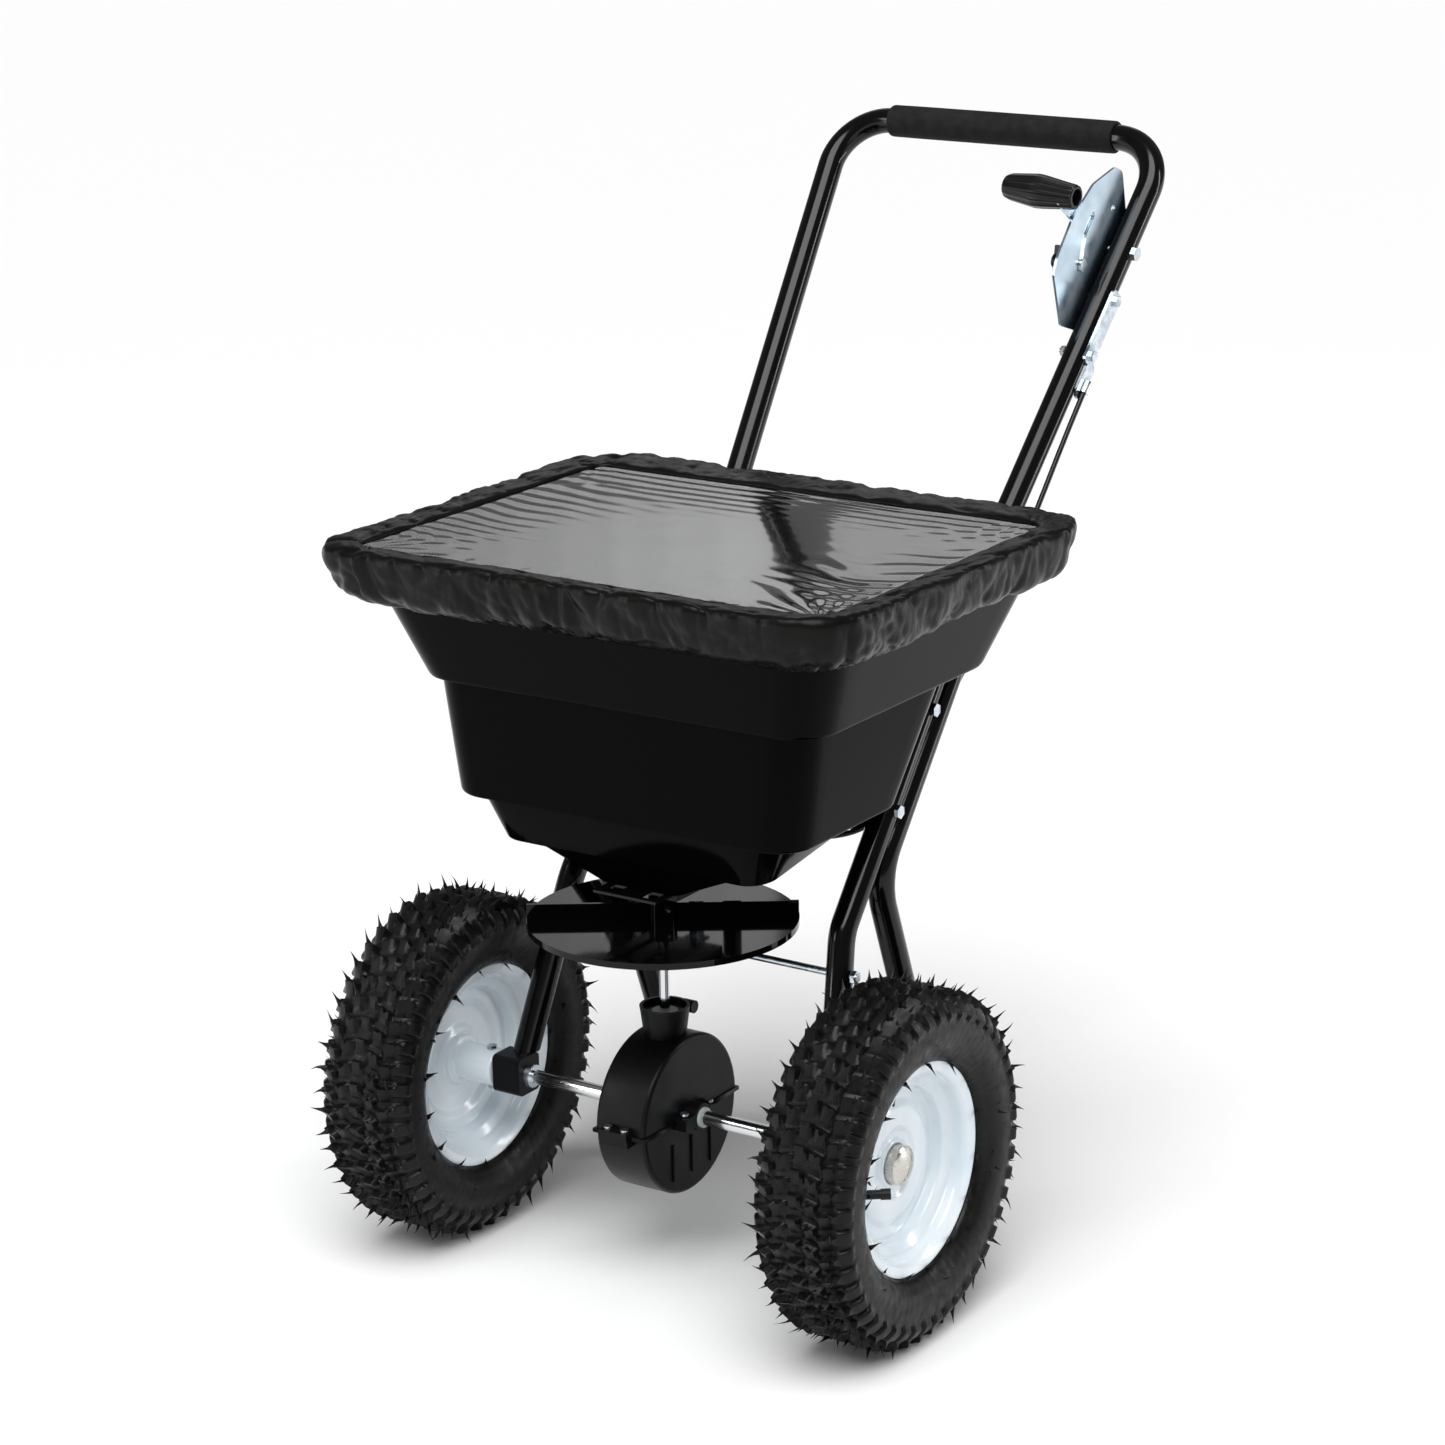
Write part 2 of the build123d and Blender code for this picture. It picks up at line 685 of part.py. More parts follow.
def hopper_crossbar():
    """A flat bar between the front legs, under the hopper's second step."""
    x = leg_x - tube_radius - slip
    z = tier2_z
    y0 = tier3_top[2] + 4
    y1 = handle_line_y(z) - leg_offset + 8
    bar = block(-x, x, y0, y1, z - 4, z)
    tail = block(x - 4, x, y0, y1, z - 34, z)
    bar += tail + mirror(tail, about=Plane.YZ)
    y, bolt_z = crossbar_bolt_place()
    return bar - bar_x(-x - 5, x + 5, frame_bolt_radius + slip, y, bolt_z)


def crossbar_bolt_place():
    """Y and Z of the bolt that holds the crossbar to a front leg."""
    z = tier2_z - 20
    return handle_line_y(z) - leg_offset, z


# ================================================================ cover
def cover_outline(grow, z):
    """The hopper's rim, grown outwards, at a height."""
    half, front, back, corner = tier1_top
    return section(half, front, back, corner, z, shrink=-(lip_width + grow))


def cover_skirt():
    """The fabric border and skirt of the rain cover."""
    top = rim_z + cover_sheet + 4
    low = top - cover_sheet - skirt_depth
    body = extrude(cover_outline(cover_clear + skirt_thickness, low), top - low)
    body -= extrude(cover_outline(cover_clear, low - 1), top - cover_sheet - low + 1)
    half, front, back, corner = tier1_top
    inset = window_inset - lip_width - cover_clear - skirt_thickness
    hole = section(half - inset, front + inset, back - inset, corner - inset, top - cover_sheet - 1)
    return body - extrude(hole, cover_sheet + 2)


def cover_window():
    """The clear vinyl window, sewn under the border."""
    top = rim_z + 4
    half, front, back, corner = tier1_top
    inset = window_inset - lip_width - cover_clear - skirt_thickness - window_lap
    pane = section(half - inset, front + inset, back - inset, corner - inset, top - window_thickness)
    return extrude(pane, window_thickness)


# ================================================================ gate
def gate_guides():
    """Two rails under the hopper's floor that carry the gate."""
    x0 = gate_half_width + gap
    x1 = x0 + 6
    low = floor_z - gate_thickness - 2 * gap - 2.5
    rail = block(x0, x1, -36, 36, low, floor_z)
    rail += block(x0 - 5, x1, -36, 36, low, low + 2.5)
    return both_sides(rail)


def gate_plate():
    """The sliding plate that opens and closes the outlets."""
    top = floor_z - gap
    low = top - gate_thickness
    plate = block(-gate_half_width, gate_half_width, -60, 45, low, top)
    plate += block(-10, 10, 44, gate_tail_y, low, top)
    slot = block(-shaft_radius - 1.5, shaft_radius + 1.5, -gate_travel, 0, low - 1, top + 1)
    for y in (-gate_travel, 0):
        slot += Pos(0, y, floor_z) * Cylinder(shaft_radius + 1.5, 30)
    plate -= slot
    for x in (-outlet_x, outlet_x):
        plate -= Pos(x, outlet_y - gate_travel, floor_z) * Box(outlet_size, outlet_size, 20)
    return plate


def gate_wire():
    """The inner wire and its hook, from the gate's tail into the cable."""
    z = gate_wire_z()
    hook = block(-4, 4, gate_tail_y - 12, gate_tail_y, z - 3, floor_z - gap - gate_thickness)
    return hook + rod((0, gate_tail_y - 4, z), (0, cable_anchor_y() - 12, z), wire_radius)


def gate_wire_z():
    """Height of the wire that pulls the gate."""
    return floor_z - gap - gate_thickness - 5


# ================================================================ frame
def handle_tube():
    """The bent handle: two splayed tubes joined by the bar that the grip is on."""
    top_y = handle_line_y(grip_z)
    corner_x = handle_x(grip_z)
    right = [(leg_x, handle_line_y(joint_z), joint_z), (leg_x, handle_line_y(splay_z), splay_z),
             (corner_x, top_y, grip_z)]
    left = [(-x, y, z) for x, y, z in reversed(right)]
    tube = bent_tube(right + left, [120, corner_bend, corner_bend, 120], tube_radius, tube_radius - tube_wall)
    end_z = joint_z - spigot_length / hypot(1, lean)
    for side in (-1, 1):
        low = (side * leg_x, handle_line_y(end_z), end_z)
        mouth = (side * leg_x, handle_line_y(joint_z), joint_z)
        high = (side * leg_x, handle_line_y(joint_z + 12), joint_z + 12)
        fit = tube_radius - tube_wall - slip
        spigot = rod(low, mouth, fit) + rod(mouth, high, tube_radius - tube_wall / 2)
        tube += spigot - rod(low, high, fit - tube_wall)
        tube -= spigot_bolt_hole(side)
    tube -= control_bolt_holes()
    return tube


def spigot_bolt_place():
    """Height of the bolt through the handle's spigot."""
    return joint_z - 16


def spigot_bolt_hole(side):
    """A hole along X for the spigot's bolt."""
    z = spigot_bolt_place()
    return bar_x(side * (leg_x - 30), side * (leg_x + 30), 3 + slip, handle_line_y(z), z)


def handle_grip():
    """The foam sleeve on the handle's bar."""
    y = handle_line_y(grip_z)
    sleeve = ring_x(-grip_half_length, grip_half_length, tube_radius + grip_foam, tube_radius, y, grip_z)
    return fillet(sleeve.edges().filter_by(GeomType.CIRCLE).group_by(SortBy.RADIUS)[-1], grip_edge)


def stand_leg(side):
    """A leg from the handle's spigot down, bent back to the ground."""
    top = (side * leg_x, handle_line_y(joint_z), joint_z)
    knee = (side * leg_x, handle_line_y(stand_bend_z), stand_bend_z)
    low_z = 4.0
    low = (side * leg_x, stand_y(low_z), low_z)
    leg = bent_tube([top, knee, low], leg_bend_radius, tube_radius, tube_radius - tube_wall)
    leg -= block(side * leg_x - 40, side * leg_x + 40, 0, 400, -30, low_z + 1)
    leg -= spigot_bolt_hole(side)
    for bolt in pair_bolts(side, 0):
        leg -= bolt
    return leg


def stand_y(z):
    """Y of the stand leg's lower run at a height."""
    return handle_line_y(stand_bend_z) + stand_slope * (stand_bend_z - z)


def stand_feet():
    """Rubber feet on the stand legs, flat on the ground."""
    axis_y = stand_y(0)
    foot = rod((leg_x, axis_y, 0), (leg_x, axis_y, foot_height), foot_radius)
    top = (leg_x, stand_y(foot_height + 20), foot_height + 20)
    low = (leg_x, stand_y(-20), -20)
    foot += rod((leg_x, stand_y(foot_height - 12), foot_height - 12),
                (leg_x, stand_y(foot_height + 8), foot_height + 8), tube_radius + 2.5)
    foot -= rod(low, top, tube_radius + slip) - block(leg_x - 50, leg_x + 50, 0, 500, -60, 5)
    foot -= block(leg_x - 50, leg_x + 50, 0, 500, -60, 0)
    return both_sides(foot)


def main_leg(side):
    """A front leg from the hopper's ledge down to the axle."""
    top_y = handle_line_y(leg_top_z) - leg_offset
    bend_y = handle_line_y(leg_bend_z) - leg_offset
    top = (side * leg_x, top_y, leg_top_z)
    knee = (side * leg_x, bend_y, leg_bend_z)
    foot = (side * leg_foot_x, leg_foot_y, wheel_radius)
    leg = bent_tube([top, knee, foot], leg_bend_radius, tube_radius, tube_radius - tube_wall)
    leg -= axle_block_envelope(side)
    leg -= block(side * leg_foot_x - 40, side * leg_foot_x + 40, -60, 60, 60, block_z[1])
    for bolt in pair_bolts(side, 0):
        leg -= bolt
    for place in (bracket_bolt_place(), crossbar_bolt_place()):
        leg -= bar_x(side * (leg_x - 30), side * (leg_x + 30), frame_bolt_radius + slip, *place)
    leg -= cross_rod_hole()
    return leg


def leg_plugs():
    """Plastic plugs in the open tops of the front legs."""
    y = handle_line_y(leg_top_z) - leg_offset
    tilt = Vector(0, lean, 1).normalized()
    seat = Vector(leg_x, y, leg_top_z)
    plug = rod(seat - tilt * 14, seat, tube_radius - tube_wall - slip)
    plug += rod(seat, seat + tilt * 3, tube_radius)
    return both_sides(plug)


def axle_block_envelope(side):
    """The outside of an axle block."""
    return block(side * block_in_x, side * block_out_x, -block_half_y, block_half_y, *block_z)


def axle_blocks():
    """Bearing blocks at the feet of the front legs."""
    body = fillet(axle_block_envelope(1).edges().filter_by(Axis.X), 5)
    body -= bar_x(block_in_x - 1, block_out_x + 1, axle_radius + bush_wall + slip, 0, wheel_radius)
    return both_sides(body)


def axle_bushes():
    """Bushes in the axle blocks."""
    outer = axle_radius + bush_wall
    return both_sides(ring_x(block_in_x, block_out_x, outer, axle_radius + running, 0, wheel_radius))


def pair_bolt_heights():
    """Heights, on the stand leg, of the bolts that join it to the front leg."""
    return stand_bend_z + 52, leg_top_z - 70


def pair_bolts(side, head):
    """Bolts through a front leg and the stand leg behind it; head 0 gives bare shanks."""
    across = Vector(0, 1, -lean).normalized()
    bolts = []
    reach = tube_radius + 1.0
    spread = leg_offset / hypot(1, lean)
    for z in pair_bolt_heights():
        middle = Vector(side * leg_x, handle_line_y(z), z)
        start = middle - across * (spread + reach - 1.0)
        end = middle + across * (reach - 1.0)
        if head:
            bolts.append(hex_bolt(start, end, 3.0, head=5.5, head_height=3.5))
        else:
            bolts.append(rod(start - across * 5, end + across * 5, 3.0 + slip))
    return bolts


def frame_bolts():
    """All the bolts that hold the frame's tubes and brackets together."""
    bolts = []
    for side in (-1, 1):
        bolts += pair_bolts(side, 1)
        z = spigot_bolt_place()
        y = handle_line_y(z)
        out = side * (leg_x + tube_radius)
        inside = side * (leg_x - tube_radius)
        bolts.append(hex_bolt((out, y, z), (inside, y, z), 3.0, head=5.5, head_height=3.5))
        for thickness, place in ((bracket_sheet, bracket_bolt_place()), (4.0, crossbar_bolt_place())):
            inner_x = side * (leg_x - tube_radius - slip - thickness)
            bolts.append(hex_bolt((out, *place), (inner_x, *place), frame_bolt_radius))
    return group(*bolts)


def cross_rod_place():
    """Y and Z of the rod between the front legs."""
    knee_y = handle_line_y(leg_bend_z) - leg_offset
    share = (leg_bend_z - cross_rod_z) / (leg_bend_z - wheel_radius)
    return knee_y + share * (leg_foot_y - knee_y), cross_rod_z


def cross_rod_hole():
    """The hole through both front legs for the cross rod."""
    return bar_x(-220, 220, cross_rod_radius + slip, *cross_rod_place())


def cross_rod():
    """A steel rod that ties the front legs, with a nut outside each."""
    share = (leg_bend_z - cross_rod_z) / (leg_bend_z - wheel_radius)
    x = leg_x + share * (leg_foot_x - leg_x) + tube_radius + 2
    bar = bar_x(-x - 5, x + 5, cross_rod_radius, *cross_rod_place())
    y, z = cross_rod_place()
    nut = extrude(Plane(origin=(x, y, z), z_dir=(1, 0, 0)) * RegularPolygon(6.5, 6), 4)
    return bar + nut + mirror(nut, about=Plane.YZ)


# ================================================================ flow control
def control_frame():
    """A plane on the right handle tube: x up the tube, y forward, z outward."""
    up = Vector(handle_splay, lean, 1).normalized()
    level = hypot(1, lean)
    outward = Vector(level, -handle_splay * lean / level, -handle_splay / level).normalized()
    origin = Vector(handle_x(pivot_z), handle_line_y(pivot_z), pivot_z)
    return Plane(origin=origin, x_dir=up, z_dir=outward)


def on_control(shape, w=0.0):
    """Places a shape on the control plane, w outward from the tube's centre line."""
    return control_frame() * Pos(0, 0, w) * shape


def polar(radius, angle):
    """A point on the control plane by its distance and angle from the lever's pivot."""
    return radius * cos(radians(angle)), radius * sin(radians(angle))


def plate_w():
    """The inner face of the control plate, outward from the tube's centre line."""
    return -tube_radius - slip - plate_thickness


def control_plate():
    """The zinc-plated quadrant with its curved slot."""
    corners = [(-86, -9), (-99, 26), (-70, 73), (-54, 79), (-14, 82), (29, 73), (62, 50), (66, 36), (34, -9)]
    outline = make_face(FilletPolyline(*corners, radius=[5, 3, 8, 25, 25, 25, 9, 9, 6], close=True))
    slot = curved_slot(stop_bolt_radius + gap)
    small = Pos(*polar(40, 39)) * Circle(3.2)
    centre = Circle(pivot_bolt_radius + slip)
    low = Pos(*low_bolt_place()) * Circle(3 + slip)
    return on_control(extrude(outline - slot - small - centre - low, plate_thickness), plate_w())


def curved_slot(half_width):
    """The slot that the stop bolt travels in, centred on the lever's pivot."""
    ends = [Pos(*polar(slot_radius, a)) * Circle(half_width) for a in (slot_start_angle, stop_angle)]
    far = 3 * slot_radius
    middle = (slot_start_angle + stop_angle) / 2
    corners = [(0, 0)] + [polar(far, a) for a in (slot_start_angle, middle, stop_angle)]
    wedge = Polyline(*corners, close=True)
    band = Circle(slot_radius + half_width) - Circle(slot_radius - half_width)
    return (band & make_face(wedge)) + ends[0] + ends[1]


def low_bolt_place():
    """The plate's lower bolt, on the tube's centre line."""
    return -52.0, 0.0


def control_bolt_holes():
    """Holes through the handle tube for the control's bolts."""
    holes = on_control(Cylinder(pivot_bolt_radius + slip, 80))
    for x in (low_bolt_place()[0], bracket_low_s):
        holes += on_control(Pos(x, 0, 0) * Cylinder(3 + slip, 80))
    return holes


def pivot_bolt():
    """The bolt that the lever turns on, through the plate and the tube."""
    inner = plate_w() - lever_thickness - 2 * gap
    shank = rod((0, 0, inner - 8), (0, 0, tube_radius), pivot_bolt_radius)
    head = Pos(0, 0, tube_radius) * extrude(RegularPolygon(7, 6), 5)
    nut = Pos(0, 0, inner - gap - 5) * extrude(RegularPolygon(7, 6), 5)
    return on_control(shank + head + nut)


def control_bolts():
    """The plate's lower bolt and the cable bracket's bolt."""
    bolts = []
    for s, inner in ((low_bolt_place()[0], plate_w()), (bracket_low_s, -tube_radius)):
        outer = tube_radius + slip + bracket_sheet
        shank = Pos(s, 0, 0) * rod((0, 0, inner - 6), (0, 0, outer), 3)
        head = Pos(s, 0, outer) * extrude(RegularPolygon(5.5, 6), 4)
        nut = Pos(s, 0, inner - 4) * extrude(RegularPolygon(5.5, 6), 4)
        bolts.append(on_control(shank + head + nut))
    return group(*bolts)


def control_lever():
    """The flat lever that opens the gate."""
    reach = lever_reach
    half = lever_width / 2
    blade = make_face(Polyline((0, -9), (reach, -half), (reach, half), (0, 9), close=True))
    blade += Circle(11)
    blade += Pos(reach, 0) * RectangleRounded(14, lever_width, 4)
    blade -= Circle(pivot_bolt_radius + running)
    tail = make_face(Polyline((0, -7), (-24, -6), (-24, 6), (0, 7), close=True))
    tail -= Circle(pivot_bolt_radius + running)
    blade += tail
    blade -= Pos(-18, 0) * Circle(2)
    turned = Rot(0, 0, lever_angle) * extrude(blade, lever_thickness)
    return on_control(turned, lever_w())


def lever_w():
    """The inner face of the lever, outward from the tube's centre line."""
    return plate_w() - gap - lever_thickness


def lever_grip():
    """A tapered, ribbed rubber grip across the end of the lever."""
    w0 = -5.0
    r = lever_grip_radius
    length = lever_grip_length
    outline = [(0, 0), (0, r - 4), (4, r - 2), (length * 0.4, r), (length * 0.5, r), (length - 10, r - 3.5),
               (length - 3, r - 4.5), (length, r - 8), (length, 0)]
    face = make_face(Polyline(*[(a, 0, -b) for b, a in outline], close=True))
    body = revolve(face, Axis.Z, 360)
    body -= Pos(0, 0, -8) * Cylinder(r - 7, 20)
    body = Pos(*polar(lever_reach, lever_angle), w0) * body
    blade = Rot(0, 0, lever_angle) * Pos(lever_reach / 2 + 8, 0, lever_w()) * Box(
        lever_reach + 16, lever_width + 0.2, lever_thickness + 0.1,
        align=(Align.CENTER, Align.CENTER, Align.MIN))
    return on_control(body - blade)


def stop_place():
    """The stop bolt, at the open end of its slot."""
    return polar(slot_radius, stop_angle)


def stop_bolt():
    """The bolt in the curved slot that limits the lever, with its sleeve."""
    outer = plate_w() + plate_thickness
    sleeve_end = lever_w() - 10
    shank = rod((0, 0, sleeve_end - 14), (0, 0, outer + gap), stop_bolt_radius)
    head = rod((0, 0, outer + gap), (0, 0, outer + gap + 2.5), 6.0)
    sleeve = rod((0, 0, sleeve_end), (0, 0, plate_w() - gap), stop_sleeve_radius)
    return on_control(Pos(*stop_place()) * (shank + head + sleeve))


def stop_knob():
    """The wing knob that clamps the stop."""
    top = lever_w() - 10 - gap
    hub = rod((0, 0, top - 13), (0, 0, top), 7)
    wings = Pos(0, 0, top - 8) * Box(30, 5, 10)
    hub += wings
    hub -= rod((0, 0, top - 30), (0, 0, top + 5), stop_bolt_radius + running)
    return on_control(Pos(*stop_place()) * (Rot(0, 0, 35) * hub))


def cable_bracket():
    """A plated strip on the tube's outer side that holds the cable's end."""
    s0 = low_bolt_place()[0] + 9
    s1 = bracket_low_s - 9
    strip = Pos((s0 + s1) / 2, 0) * RectangleRounded(s0 - s1, 18, 5)
    tab = Pos(s1 - 14, -8) * RectangleRounded(38, 16, 7.5)
    sheet = extrude(strip + tab, bracket_sheet)
    for s in (low_bolt_place()[0], bracket_low_s):
        sheet -= Pos(s, 0, 0) * Cylinder(3 + slip, 20)
    hold = Pos(s1 - 20, -9, bracket_sheet + cable_radius + slip)
    clamp = hold * Rot(0, 90, 0) * Cylinder(cable_radius + 2, 12)
    bore = hold * Rot(0, 90, 0) * Cylinder(cable_radius + slip, 60)
    return on_control(sheet + clamp - bore, tube_radius + slip)


def cable_route():
    """The cable's corner points, from its bracket down to the gate."""
    w = tube_radius + 2 * slip + bracket_sheet + cable_radius
    seat = control_frame()
    start = seat.from_local_coords(Vector(bracket_low_s - 22, -9, w))
    second = seat.from_local_coords(Vector(bracket_low_s - 62, -9, w))
    z = gate_wire_z()
    y_back = handle_line_y(stand_bend_z + 60) + 26
    return [tuple(start), tuple(second),
            (leg_x + 18, handle_line_y(640) + 24, 640), (leg_x + 6, handle_line_y(560) + 26, 560),
            (leg_x - 8, handle_line_y(500) + 30, 500), (leg_x - 22, y_back, stand_bend_z + 50),
            (leg_x - 60, y_back - 18, z + 8), (0, y_back - 30, z), (0, cable_anchor_y() - 19, z)]


def cable_housing():
    """The cable's outer casing, clipped along the handle and the leg."""
    points = cable_route()
    vectors = [Vector(*p) for p in points]
    radii = []
    for a, b, c in zip(vectors, vectors[1:], vectors[2:]):
        turn = (b - a).get_angle(c - b)
        shorter = min((b - a).length, (c - b).length)
        radii.append(min(400.0, 0.45 * shorter / tan(radians(turn / 2))))
    print("cable bend radii, mm:", [round(r) for r in radii])
    casing = bent_tube(points, radii, cable_radius)
    z = gate_wire_z()
    casing -= rod((0, gate_tail_y, z), (0, cable_anchor_y() - 10 + gate_travel, z), wire_radius + gap)
    return casing


def cable_anchor_y():
    """Where the cable is held behind the gate, clear of the hopper's third step."""
    return tier3_top[2] + 9


def cable_anchor():
    """A clip under the hopper's crossbar that holds the cable's lower end."""
    z = gate_wire_z()
    y = cable_anchor_y()
    clip = block(-7, 7, y - 5, y + 5, z - 5, z + 5)
    clip -= rod((0, y - 20, z), (0, y + 20, z), cable_radius + slip)
    post = block(-7, 7, y - 5, y + 5, z + 5, tier2_z - 4)
    return clip + post


# ================================================================ write every node
def main():
    save("handle_tube", handle_tube())
    save("handle_grip", handle_grip())
    for side, label in ((1, "right"), (-1, "left")):
        save(f"stand_leg_{label}", stand_leg(side))
        save(f"front_leg_{label}", main_leg(side))
        for name, shape in wheel_pieces(side).items():
            save(f"{name}_{label}", shape)
    save("stand_feet", stand_feet())
    save("leg_plugs", leg_plugs())
    save("cross_rod", cross_rod())
    save("hopper_crossbar", hopper_crossbar())
    save("hopper_brackets", hopper_brackets())
    save("hopper_screws", hopper_screws())
    save("frame_bolts", frame_bolts())
    save("axle_blocks", axle_blocks())
    save("axle_bushes", axle_bushes())
    save("axle", axle())
    save("axle_collars", axle_collars())
    save("axle_clips", axle_clips())
    save("drive_bolt", drive_bolt())
    save("crown_gear", crown_gear())
    save("crown_pin", Pos(crown_pin_x, 0, wheel_radius) * Rot(90, 0, 0) * Cylinder(crown_pin_radius, 24))
    save("gearbox_upper", gearbox_half(True))
    save("gearbox_lower", gearbox_half(False))
    save("gearbox_screws", gearbox_screws())
    save("gearbox_bushes", gearbox_bushes())
    save("shaft_bush", shaft_bush())
    save("pinion_gear", pinion_gear())
    save("impeller_shaft", impeller_shaft())
    save("impeller", impeller())
    save("impeller_pins", impeller_pins())
    save("agitator", agitator())
    save("hopper", hopper())
    save("hopper_bush", hopper_bush())
    save("cover_skirt", cover_skirt())
    save("cover_window", cover_window())
    save("gate_guides", gate_guides())
    save("gate_plate", gate_plate())
    save("gate_wire", gate_wire())
    save("control_plate", control_plate())
    save("pivot_bolt", pivot_bolt())
    save("control_bolts", control_bolts())
    save("control_lever", control_lever())
    save("lever_grip", lever_grip())
    save("stop_bolt", stop_bolt())
    save("stop_knob", stop_knob())
    save("cable_bracket", cable_bracket())
    save("cable_housing", cable_housing())
    save("cable_anchor", cable_anchor())


main()
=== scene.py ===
# %% [markdown]
# # A walk-behind broadcast spreader
# The engineering model comes in first and stays where it is: it sets every size and place.
# What follows gives each part its finish and puts detailed pieces where plain ones stood.

# %% Load the engineering model
import json
import bpy
import bmesh
import numpy as np
from mathutils import Matrix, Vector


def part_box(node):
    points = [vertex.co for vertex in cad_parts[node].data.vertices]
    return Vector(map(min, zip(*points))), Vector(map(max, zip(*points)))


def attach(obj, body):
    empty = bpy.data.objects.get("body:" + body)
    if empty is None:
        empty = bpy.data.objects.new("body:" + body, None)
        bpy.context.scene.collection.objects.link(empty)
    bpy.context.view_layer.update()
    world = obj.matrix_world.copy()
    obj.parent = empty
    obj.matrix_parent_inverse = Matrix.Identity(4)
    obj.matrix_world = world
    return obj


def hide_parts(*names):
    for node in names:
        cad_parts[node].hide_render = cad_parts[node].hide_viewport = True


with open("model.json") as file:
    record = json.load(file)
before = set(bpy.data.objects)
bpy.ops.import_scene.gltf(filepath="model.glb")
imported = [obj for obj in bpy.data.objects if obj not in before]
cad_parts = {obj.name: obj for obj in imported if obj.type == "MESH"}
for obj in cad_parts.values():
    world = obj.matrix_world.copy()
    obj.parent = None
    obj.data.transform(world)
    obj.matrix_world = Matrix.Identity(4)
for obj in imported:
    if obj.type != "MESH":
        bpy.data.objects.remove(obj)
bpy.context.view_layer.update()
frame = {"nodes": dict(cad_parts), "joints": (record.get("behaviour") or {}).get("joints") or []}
nodes = frame["nodes"]
joints = {j["name"]: j for j in frame["joints"]}
print("pieces from the engineering model:", len(nodes))

# %% [markdown]
# ## Camera
# A long lens stands in front of the spreader, to its right and a little above, so that both wheels,
# the cover and the handle are seen together with little perspective.

# %% Camera
turn, tilt, roll = np.radians([33.84, 16.65, -0.85])
back = np.array([np.sin(turn) * np.cos(tilt), -np.cos(turn) * np.cos(tilt), np.sin(tilt)])
right = np.array([np.cos(turn), np.sin(turn), 0.0])
up = np.cross(back, right)
right_r = np.cos(roll) * right + np.sin(roll) * up
up_r = -np.sin(roll) * right + np.cos(roll) * up
camera_place = np.array([1.8946, -2.7242, 1.5272])
sensor_mm, lens_mm = 36.0, 96.56

camera_data = bpy.data.cameras.new("camera")
camera_data.sensor_width = sensor_mm
camera_data.lens = lens_mm
camera = bpy.data.objects.new("camera", camera_data)
camera.matrix_world = Matrix([[*row, place] for row, place in
                              zip(np.stack([right_r, up_r, back], axis=1), camera_place)] + [[0, 0, 0, 1]])
bpy.context.scene.collection.objects.link(camera)
bpy.context.scene.camera = camera

# %% [markdown]
# ## Small helpers
# A colour is given as an sRGB hex value and turned to the linear numbers that a shader needs.
# One function adds a shader node, its settings and its links.

# %% Colour and shader helpers
def linear(hex_colour):
    """sRGB to linear: c/12.92 below 0.04045, else ((c + 0.055)/1.055) to the power 2.4."""
    c = np.array([int(hex_colour[i:i + 2], 16) for i in (1, 3, 5)]) / 255
    return (*np.where(c <= 0.04045, c / 12.92, ((c + 0.055) / 1.055) ** 2.4), 1.0)


def add_node(tree, kind, settings=None, values=None, links=None):
    """Adds one shader node: settings are its properties, values its sockets, links socket to output."""
    new = tree.nodes.new(kind)
    for key, value in (settings or {}).items():
        setattr(new, key, value)
    for key, value in (values or {}).items():
        new.inputs[key].default_value = value
    for key, output in (links or {}).items():
        tree.links.new(output, new.inputs[key])
    return new


def finish(name, colour, roughness, metallic=0.0, **more):
    """A material with one Principled shader; more holds its other sockets, with _ for a space."""
    material = bpy.data.materials.new(name)
    material.use_nodes = True
    shader = material.node_tree.nodes["Principled BSDF"]
    shader.inputs["Base Color"].default_value = linear(colour)
    shader.inputs["Roughness"].default_value = roughness
    shader.inputs["Metallic"].default_value = metallic
    for key, value in more.items():
        shader.inputs[key.replace("_", " ")].default_value = value
    return material, material.node_tree, shader


def grain(tree, size, detail=2.0, stretch=(1, 1, 1)):
    """Noise whose lumps are about size metres across, fixed to the piece."""
    place = add_node(tree, "ShaderNodeTexCoord")
    scaled = add_node(tree, "ShaderNodeMapping", values={"Scale": stretch},
                      links={"Vector": place.outputs["Object"]})
    return add_node(tree, "ShaderNodeTexNoise", values={"Scale": 1 / size, "Detail": detail},
                    links={"Vector": scaled.outputs["Vector"]})


def bump(tree, shader, height, strength, distance, before=None):
    """Sends a height to the shader's normal; distance is the real depth in metres."""
    links = {"Height": height}
    if before is not None:
        links["Normal"] = before.outputs["Normal"]
    values = {"Strength": strength, "Distance": distance}
    node = add_node(tree, "ShaderNodeBump", values=values, links=links)
    tree.links.new(node.outputs["Normal"], shader.inputs["Normal"])
    return node


def vary(tree, socket, source, low, high, start=0.3, stop=0.7):
    """Spreads a grey pattern between two numbers and feeds it to a socket."""
    spread = add_node(tree, "ShaderNodeMapRange",
                      values={"From Min": start, "From Max": stop, "To Min": low, "To Max": high},
                      links={"Value": source})
    tree.links.new(spread.outputs["Result"], socket)


def tint(tree, shader, source, dark, light, start=0.3, stop=0.7):
    """Lets a pattern move the base colour between two hex colours."""
    ramp = add_node(tree, "ShaderNodeValToRGB", links={"Fac": source})
    ramp.color_ramp.elements[0].position = start
    ramp.color_ramp.elements[0].color = linear(dark)
    ramp.color_ramp.elements[1].position = stop
    ramp.color_ramp.elements[1].color = linear(light)
    tree.links.new(ramp.outputs["Color"], shader.inputs["Base Color"])

# %% [markdown]
# ## Shaping helpers
# A surface is a grid of points worked out as one array. Its faces join neighbours in the grid.

